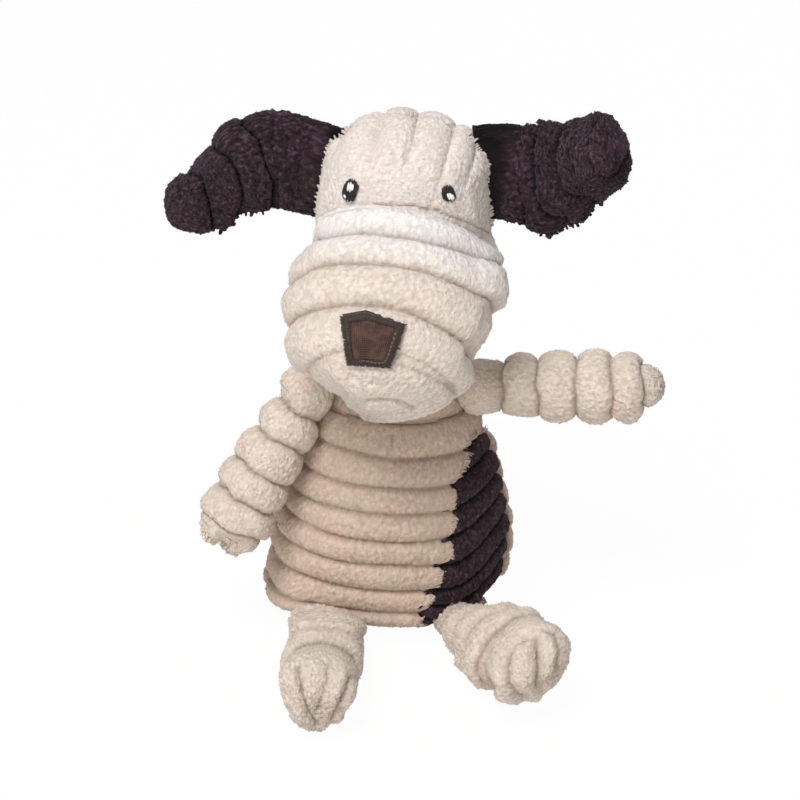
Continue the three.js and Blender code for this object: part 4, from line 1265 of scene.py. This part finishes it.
def lobes(xy, lips, beyond):
    """Height from 0 to 1 over lobes that overlap at drawn lips, and distance from a lip's shaded side."""
    away = np.array([to_line(xy, lip) for lip in lips])
    level = sum(within(xy, lip + beyond).astype(int) for lip in lips)
    n, last = np.arange(len(xy)), len(lips)
    before = np.where(level > 0, away[np.maximum(level - 1, 0), n], 18.0)
    after = np.where(level < last, away[np.minimum(level, last - 1), n], 20.0)
    t = (before / (before + after)) ** 0.5
    return (1 - np.abs(2 * t - 1) ** 2.4) ** 0.6, np.where(level < last, after, 20.0)


def build_ear(name, seed):
    pose = EARS[name]
    bends = np.array(pose["bends"]) * (EAR_LENGTH, -pose["side"] * EAR_LENGTH, EAR_LENGTH)
    path = Path(bends, (0, 0, 1))

    def sizes(share):
        thick = EAR_HALF_THICK * table(EAR_THICK, share, 0.02)
        return EAR_HALF_WIDTH * table(pose["width"], share), thick, opened((1 - share) * EAR_LENGTH, EAR_TIP)

    skin = Skin(path, sizes, 150, 210, ear_frame(pose))
    share, across = skin.share, np.cos(skin.angle)
    inward = 6 * (1 - smooth(share / 0.1))
    skin.p = skin.p - inward[:, None] * skin.at[0][:, 0]
    place, up, _, _ = path.at(share)
    place = placed(place - np.stack([inward, inward * 0, inward * 0], axis=1), skin.at)
    up = up @ skin.at[0].T
    reach = ((skin.p - place) * up).sum(axis=1)
    scale = np.where(reach > 0, table(pose["upper"], share), table(pose["lower"], share))
    skin.p = skin.p + up * (reach * (scale - 1))[:, None]
    grooves = [at + slant * across + curl * np.abs(across) ** 3 for at, slant, curl in EAR_LIPS[name]]
    keep = smooth(share / 0.06) * (0.4 + 0.6 * smooth((share - 0.1) / 0.15))
    facing = smooth(-skin.normals()[:, 1] * 2.5 + 0.6) * keep
    add_ribs(skin, grooves, 3.3, 2.2, 0.9, seed, skew=0.5, keep=keep - facing, crease=(1.0, 0.8))
    height, shaded = lobes(in_photo(skin.p), EAR_LOBES[name], EAR_BEYOND[name])
    crease = bump(shaded, 3.2) * facing
    rise = facing * (pose["relief"] * (height - 1) + 0.4)
    skin.push(rise - 1.0 * crease + noise(skin.flat / 7, seed) * 0.5 * keep)
    skin.height = np.minimum(skin.height, 1 - (1 - height) * facing)
    # Painted shadow over the ear's root, and painted shade on the low sides of the lobes and under each lip
    root = 1 - smooth((share - 0.03) / pose["fade"])
    skin.mark("low", np.maximum(root, (1 - height) * facing))
    skin.mark("groove", np.maximum(root * 0.9, crease))
    if name == "ear_right":
        fold = bump(to_line(in_photo(skin.p), EAR_FOLD), 3.0)
        skin.push(-1.1 * fold)
        # Painted shade along the fold
        skin.mark("groove", fold * 0.6)
    add_pile(skin, seed, 1.2)
    return skin_piece(name + "_cover", skin, DARK, extra=ear_fringe(pose["fringe"], skin, seed))


def ear_fringe(fringe, skin, seed):
    """Loose cut ends of the ribs, along the lower seam of the ear."""
    rng = np.random.default_rng(seed)
    lot = Lot()
    low, high, count = fringe
    normals = skin.normals()
    near = np.where((np.cos(skin.angle) < -0.985) & (skin.share > low) & (skin.share < high))[0]
    for k in rng.permutation(near)[:count]:
        direction = normals[k] + rng.normal(size=3) * 0.35
        side = np.array([rng.normal(), -1.0, 0.2])
        lock(lot, skin.p[k], direction, side, rng.uniform(0.9, 2.2), rng.uniform(1.3, 2.1), rng, 0.2)
    return lot


# Face

def tree_of(skin):
    faces = skin.quads.tolist() + skin.tris.tolist()
    return BVHTree.FromPolygons(skin.p.tolist(), faces)


def cast(tree, origin, direction):
    hit, normal, _, _ = tree.ray_cast(tuple(origin), tuple(direction))
    return (None, None) if hit is None else (np.array(hit), np.array(normal))


def pixel_ray(x, y):
    half = FRAME_PIXELS / 2
    scale = SENSOR / LENS / FRAME_PIXELS
    way = FORWARD + np.array([1, 0, 0]) * (x - half) * scale + UP * (half - y) * scale
    return VIEW_POINT - FORWARD * VIEW_DISTANCE, unit(way)


def on_surface(tree, x, y):
    """The point of a surface that shows at a pixel of the photograph, and its normal."""
    return cast(tree, *pixel_ray(x, y))


def satin(lot, tree, a, b, radius, rise, steps, shade=0.5):
    """One satin stitch between two pixels, arched over what it is sewn to."""
    points, normals = [], []
    for t in np.linspace(0, 1, steps):
        origin, way = pixel_ray(*(np.array(a) * (1 - t) + np.array(b) * t))
        p, n = cast(tree, origin, way)
        if p is None:
            return
        lift = rise * math.sin(math.pi * (0.12 + 0.76 * t)) / max(-way @ n, 0.55)
        points.append(p - way * lift)
        normals.append(n)
    normal = unit(np.mean(normals, axis=0))
    points = np.array(points)
    points[1:-1] = (points[:-2] + points[1:-1] * 2 + points[2:]) / 4
    strand(lot, points, radius, normal, shade)


def head_tree(path, sizes, grow, grooves=(), depth=0.0):
    """A coarse copy of a form of the head, which small parts are laid on."""
    skin = Skin(path, sizes, 90, 120, HEAD)
    if grooves:
        height, _ = ribs(skin.share, grooves, 2.3)
        skin.push(depth * (height - 1))
    skin.push(np.full(len(skin.p), grow))
    return tree_of(skin)


def build_eye(name, tree, centre, half_width, half_height, lean, seed):
    """A satin-stitched eye: upright stitches over an oval, ragged at its rim."""
    rng = np.random.default_rng(seed)
    lot = Lot()
    c, s = math.cos(math.radians(lean)), math.sin(math.radians(lean))
    for layer in range(2):
        for x in np.arange(-half_width, half_width + 0.01, 1.15):
            tall = half_height * math.sqrt(max(0.08, 1 - (x / (half_width + 0.7)) ** 2))
            low = -tall + rng.normal() * 0.7
            high = tall + rng.normal() * 0.7
            slant = rng.normal() * 0.6
            a = (centre[0] + (x + slant) * c - low * s, centre[1] + (x + slant) * s + low * c)
            b = (centre[0] + (x - slant) * c - high * s, centre[1] + (x - slant) * s + high * c)
            satin(lot, tree, a, b, 0.36, 0.45 + 0.3 * layer, 6, rng.uniform(0, 1))
    for _ in range(10):
        angle = rng.uniform(0, 2 * math.pi)
        a = np.array([half_width * 0.8 * math.cos(angle), half_height * 0.85 * math.sin(angle)])
        b = a * rng.uniform(1.12, 1.3)
        satin(lot, tree, np.array(centre) + a, np.array(centre) + b, 0.28, 0.35, 4, rng.uniform(0, 1))
    return lot.piece(name, BLACK_THREAD)


def build_glint(name, tree, stitches):
    lot = Lot()
    for a, b in stitches:
        satin(lot, tree, a, b, 0.5, 1.5, 5)
    return lot.piece(name, WHITE_THREAD)


# The nose's outline in photograph pixels: outer corners, then inner
NOSE_OUTER = ((340.3, 316.8), (365.5, 312.3), (405, 325), (398.8, 344), (390, 368), (347, 364.9))
NOSE_INNER = ((352, 323.5), (367, 321.3), (393, 328.5), (388.5, 343), (382, 360.5), (354, 359))


def build_nose(tree):
    """The cloth patch: a small crowned grid over the muzzle, closed behind."""
    rows, columns = 34, 40
    outer = np.array(NOSE_OUTER) * 0.8 + np.array(NOSE_INNER) * 0.2
    left_top, peak_top, right_top = outer[:3]
    peak = (peak_top[0] - left_top[0]) / (right_top[0] - left_top[0])
    lift = peak_top[1] - (left_top[1] + (right_top[1] - left_top[1]) * peak)
    p, rest = [], []
    for i in range(rows + 1):
        v = i / rows
        left = outer[0] * (1 - v) + outer[5] * v
        right = outer[2] * (1 - v) + outer[4] * v
        right = right + (outer[3] - (outer[2] + outer[4]) / 2) * 4 * v * (1 - v)
        for j in range(columns + 1):
            u = j / columns
            xy = left * (1 - u) + right * u
            arch = lift * min(u / peak, (1 - u) / (1 - peak)) * (1 - v)
            hit, n = on_surface(tree, xy[0], xy[1] + arch)
            rim = min(u, 1 - u, v, 1 - v)
            rise = 0.2 + 1.1 * smooth(rim / 0.12) + 0.35 * smooth(rim / 0.4)
            p.append(hit + n * rise)
            rest.append(((u - 0.5) * 20, 0, (0.5 - v) * 18))
    n = len(p)
    behind = np.array(p) + np.array([0, 2.2, 0.6])

    def at(i, j):
        return i * (columns + 1) + j

    faces = []
    for i in range(rows):
        for j in range(columns):
            a, b, c, d = at(i, j), at(i, j + 1), at(i + 1, j + 1), at(i + 1, j)
            faces += [(d, c, b, a), (n + a, n + b, n + c, n + d)]
    rim = [at(0, j) for j in range(columns)] + [at(i, columns) for i in range(rows)]
    rim += [at(rows, j) for j in range(columns, 0, -1)] + [at(i, 0) for i in range(rows, 0, -1)]
    for a, b in zip(rim, rim[1:] + rim[:1]):
        faces.append((a, b, n + b, n + a))
    return piece("nose_cloth_patch", np.concatenate([p, behind]), faces, NOSE, {}, np.array(rest + rest))


# Loose ends of the nose's border, in photograph pixels
NOSE_ENDS = (((404, 325), (407.5, 324.5)), ((366, 314), (365.5, 311)), ((398, 348), (400.5, 349.5)))


def build_nose_border(tree):
    rng = np.random.default_rng(41)
    lot = Lot()
    outer, inner = np.array(NOSE_OUTER), np.array(NOSE_INNER)
    for k in range(6):
        a0, a1 = outer[k], outer[(k + 1) % 6]
        b0, b1 = inner[k], inner[(k + 1) % 6]
        count = int(np.linalg.norm(a1 - a0) / 0.95)
        for i in range(count):
            t = (i + rng.uniform(-0.2, 0.2)) / count
            lean = rng.normal() * 0.012
            a = a0 + (a1 - a0) * (t + lean) + rng.normal(size=2) * 0.35
            b = b0 + (b1 - b0) * (t - lean) + rng.normal(size=2) * 0.3
            out = (a - b) / np.linalg.norm(a - b)
            satin(lot, tree, a + out * 0.6, b, 0.4, 1.9, 7, rng.uniform(0, 1))
    for a, b in NOSE_ENDS:
        satin(lot, tree, a, b, 0.3, 0.6, 4)
    return lot.piece("nose_satin_border", BROWN_THREAD)


NOSE_LINE = (
    (396, 332), (393, 340.5), (390.5, 349), (388, 356.5), (384.5, 362.8), (377.5, 363.6), (370, 361.6),
    (361, 360.6),
)


def build_nose_line(tree):
    """The fine lighter stitches inside the right and lower border."""
    lot = Lot()
    line = np.array(NOSE_LINE)
    for a, b in zip(line[:-1], line[1:]):
        count = max(1, round(np.linalg.norm(b - a) / 4.2))
        for i in range(count):
            u = a + (b - a) * (i - 0.08) / count
            v = a + (b - a) * (i + 1.08) / count
            satin(lot, tree, u, v, 0.36, 2.4, 4)
    return lot.piece("nose_fine_stitches", GREY_THREAD)


# Neck and inside

# The ring of neck stitches: how far under the neck's centre, its radius, and their number
SEAM_BELOW, SEAM_RADIUS, SEAM_STITCHES = 10.7, 15.6, 32


def build_neck_seam():
    """The hand-sewn thread round the neck: slanted stitches in a ring."""
    lot = Lot()
    rng = np.random.default_rng(51)
    centre = NECK + np.array([0, 0, -SEAM_BELOW])
    for i in range(SEAM_STITCHES):
        a = 2 * math.pi * i / SEAM_STITCHES
        points = []
        for t in np.linspace(-0.5, 0.5, 6):
            angle = a + t * 2 * math.pi / SEAM_STITCHES * 1.25
            reach = SEAM_RADIUS + 0.5 * math.cos(math.pi * t)
            points.append(centre + np.array([math.cos(angle) * reach, math.sin(angle) * reach, t * 1.5]))
        strand(lot, points, 0.55, np.array([math.cos(a), math.sin(a), 0]), rng.uniform(0, 1))
    return lot.piece("neck_hand_stitches", SEAM_THREAD)


def build_belly_wad():
    lo, hi = (np.array(corner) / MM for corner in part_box("belly_stuffing"))
    middle, half = (lo + hi) / 2, (hi - lo) / 2 - 0.4
    path = Path([(middle[0], lo[1] + 5.0, middle[2]), (middle[0], hi[1] - 0.4, middle[2])], (1, 0, 0))

    def sizes(share):
        round_ = opened(share * path.length, path.length * 0.8) * opened((1 - share) * path.length, 3)
        return share * 0 + half[0] - 1.5, share * 0 + half[2] - 1.5, round_

    skin = Skin(path, sizes, 30, 80)
    skin.push(noise(skin.flat / 5, 61) * 0.5 - 0.5)
    add_pile(skin, 62, 0.8, 2.4)
    return skin_piece("belly_wad", skin, FIBRE)


EYES = {
    "eye_left": ((448.8, 193.5), 6.2, 8.2, -20, 71),
    "eye_right": ((350.2, 190.5), 6.8, 11.4, 16, 72),
}
GLINTS = {
    "eye_left": [
        ((447.5, 193), (450, 200)), ((449.6, 192.6), (452.6, 200.5)), ((452, 194.5), (453.8, 199.5)),
    ],
    "eye_right": [
        ((349, 182.5), (347.5, 191.5)), ((351, 182), (349.8, 193)), ((353, 184), (352, 191)),
        ((344, 195), (345.4, 198)),
    ],
}

pieces = build_torso()
pieces["side_patch_cover"] = build_patch()
pieces["arm_left_cover"] = build_arm("arm_left", LEFT_ARM_GROOVES, 7, (0, 0, 0), 0)
pieces["arm_right_cover"] = build_arm("arm_right", RIGHT_ARM_GROOVES, 8, (-3.2, 0, -1.0), 1)
pieces["leg_left_cover"] = build_leg("leg_left", 9, LEFT_SOLE, 0.06, 0.13, 2.5)
pieces["leg_right_cover"] = build_leg("leg_right", 10, RIGHT_SOLE, 0.56, 0.0, 0.0)
pieces.update(build_skull())
pieces.update(build_snout())
pieces["ear_left_cover"] = build_ear("ear_left", 14)
pieces["ear_right_cover"] = build_ear("ear_right", 15)
skull_tree = head_tree(skull_path, skull_sizes, 0.1)
snout_tree = head_tree(snout_path, snout_sizes, 0.9, SNOUT_GROOVES, 1.2)
for eye, pose in EYES.items():
    pieces[eye + "_satin"] = build_eye(eye + "_satin", skull_tree, *pose)
for eye, stitches in GLINTS.items():
    pieces[eye + "_glint"] = build_glint(eye + "_glint", skull_tree, stitches)
pieces["nose_cloth_patch"] = build_nose(snout_tree)
pieces["nose_satin_border"] = build_nose_border(snout_tree)
pieces["nose_fine_stitches"] = build_nose_line(snout_tree)
pieces["neck_hand_stitches"] = build_neck_seam()
pieces["belly_wad"] = build_belly_wad()


# What each piece rides on, stands for and is made of

def metres(p):
    return tuple(float(c) * MM for c in p)


seam_axis = tuple(float(c) for c in unit(np.array([0, TORSO_HEIGHT, -SEAM_LEAN])))
for name in ("body_front_cover", "body_back_cover", "side_patch_cover"):
    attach(pieces[name], "torso")
for name in ("body_front_cover", "side_patch_cover"):
    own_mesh(pieces[name], "belly_squeeze", axis=seam_axis, anchor=metres((0, -SEAM_FORWARD, 0)), keep=0.74)
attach(pieces["belly_wad"], "belly_pad")
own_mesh(pieces["belly_wad"], "belly_squeeze", axis=(0, 1, 0), anchor=metres((0, -28.5, 50)), keep=0.44)
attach(pieces["neck_hand_stitches"], "neck_seam")
for name in pieces:
    if name.startswith(("crown", "head", "muzzle", "chin", "nose", "eye")):
        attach(pieces[name], "head")
for name, (hinge, way) in LIMBS.items():
    hinge, way = np.array(hinge, float), unit(np.array(way, float))
    ends = {"start": metres(hinge - way * 8), "end": metres(hinge + way * 12)}
    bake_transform(pieces[name + "_cover"])
for name, pose in EARS.items():
    turned, origin = ear_frame(pose)
    ends = {"start": metres(origin), "end": metres(origin + turned[:, 0] * 10)}
    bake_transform(pieces[name + "_cover"])

STANDS_FOR = {
    "body_front_cover": ("body_front_panel", "cream_corduroy"),
    "body_back_cover": ("body_back_panel", "body_stuffing", "cream_corduroy"),
    "side_patch_cover": ("body_side_patch", "aubergine_corduroy"),
    "belly_wad": ("belly_stuffing", "fibre_filling"),
    "neck_hand_stitches": ("neck_seam_thread", "seam_thread"),
    "crown_cover": ("crown_panel", "white_corduroy"),
    "head_back_cover": ("head_back_panel", "head_stuffing", "white_corduroy"),
    "muzzle_cover": ("muzzle_panel", "white_corduroy"),
    "chin_cover": ("chin_panel", "white_corduroy"),
    "nose_cloth_patch": ("nose_patch", "nose_cloth"),
    "nose_satin_border": ("nose_stitching", "brown_thread"),
    "eye_left_satin": ("eye_left", "black_thread"),
    "eye_right_satin": ("eye_right", "black_thread"),
    "eye_left_glint": ("eye_glint_left", "white_thread"),
    "eye_right_glint": ("eye_glint_right", "white_thread"),
}
for name in ("arm_left", "arm_right", "ear_left", "ear_right"):
    cloth = "aubergine_corduroy" if name.startswith("ear") else "cream_corduroy"
    STANDS_FOR[name + "_cover"] = (name + "_front_panel", name + "_back_panel", name + "_stuffing", cloth)
for name in ("leg_left", "leg_right"):
    nodes = (name + "_inner_panel", name + "_outer_panel", name + "_stuffing")
    STANDS_FOR[name + "_cover"] = (*nodes, "cream_corduroy")
for name, (*nodes, slot) in STANDS_FOR.items():
    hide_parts(*nodes)

soft_plastic = plastic_finish("squeaker_soft_plastic", "#dfe4e8", "#f2f4f6", 0.38)
reed_film = plastic_finish("reed_film", "#c2d0da", "#dde8ee", 0.22)
for node in ("squeaker_bulb", "squeaker_plug", "squeaker_reed_clamp", "squeaker_reed"):
    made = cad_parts[node]
    made.data.materials.clear()
    made.data.materials.append(reed_film if node == "squeaker_reed" else soft_plastic)


# Stage, light and camera

FLOOR_REACH = 6.0
FLOOR_DROP = 0.0003


def build_floor():
    f = Finish("pale_floor", Roughness=0.9, Specular_IOR_Level=0.1)
    where = f.node("ShaderNodeNewGeometry", {}, "Position")
    f.colour(f.mix(f.spread(f.noise(where, 40.0, 3), 0.3, 0.7), rgb("#f4f4f4"), rgb("#f8f8f8")))
    rays = f.rays()
    seen = f.math("MAXIMUM", rays["Is Glossy Ray"], rays["Is Transmission Ray"])
    seen = f.math("MULTIPLY", f.math("MAXIMUM", rays["Is Camera Ray"], seen), 0.97)
    plain = f.node("ShaderNodeEmission", {"Color": (1, 1, 1, 1), "Strength": 1.0})
    both = f.node("ShaderNodeMixShader", {0: seen, 1: f.shader.outputs[0], 2: plain})
    f.tree.links.new(both, f.tree.nodes["Material Output"].inputs["Surface"])
    mesh = bpy.data.meshes.new("floor")
    corners = [(x * FLOOR_REACH, y * FLOOR_REACH, 0) for x, y in ((-1, -1), (1, -1), (1, 1), (-1, 1))]
    mesh.from_pydata(corners, [], [(0, 1, 2, 3)])
    mesh.materials.append(f.material)
    made = in_scene("floor", mesh)
    made.location.z = -FLOOR_DROP


def build_world():
    world = bpy.data.worlds.new("studio")
    world.use_nodes = True
    f = Nodes(world.node_tree)
    f.tree.nodes.clear()
    rays = f.rays()
    soft = f.node("ShaderNodeBackground", {"Color": (1, 0.965, 0.925, 1), "Strength": 0.31})
    white = f.node("ShaderNodeBackground", {"Color": (1, 1, 1, 1), "Strength": 1.0})
    seen = f.math("MAXIMUM", rays["Is Camera Ray"], rays["Is Glossy Ray"])
    both = f.node("ShaderNodeMixShader", {0: seen, 1: soft, 2: white})
    f.tree.links.new(both, f.tree.nodes.new("ShaderNodeOutputWorld").inputs["Surface"])
    bpy.context.scene.world = world


def build_lamp(name, place, size, power, colour, aim=(0.005, 0, 0.1)):
    lamp = bpy.data.lights.new(name, "AREA")
    lamp.shape = "DISK"
    lamp.size = size
    lamp.energy = power
    lamp.color = colour
    made = in_scene(name, lamp)
    made.location = place
    made.rotation_mode = "QUATERNION"
    made.rotation_quaternion = (Vector(place) - Vector(aim)).to_track_quat("Z", "Y")


def build_camera():
    camera = in_scene("camera", bpy.data.cameras.new("camera"))
    camera.data.lens, camera.data.sensor_width = LENS, SENSOR
    camera.data.clip_start, camera.data.clip_end = 0.01, 30
    camera.location = tuple((VIEW_POINT - FORWARD * VIEW_DISTANCE) * MM)
    camera.rotation_euler = (math.pi / 2 - VIEW_ELEVATION, 0, 0)
    bpy.context.scene.camera = camera


build_floor()
build_world()
build_lamp("key", (-0.4, -0.78, 1.52), 0.8, 20.5, (0.985, 0.99, 1))
build_lamp("fill", (-0.3, -1.3, 0.25), 1.0, 4.5, (1, 0.96, 0.92))
build_lamp("back", (0.3, 1.1, 1.1), 1.0, 5, (1, 1, 1))
build_camera()
bpy.context.scene.view_settings.view_transform = "Standard"
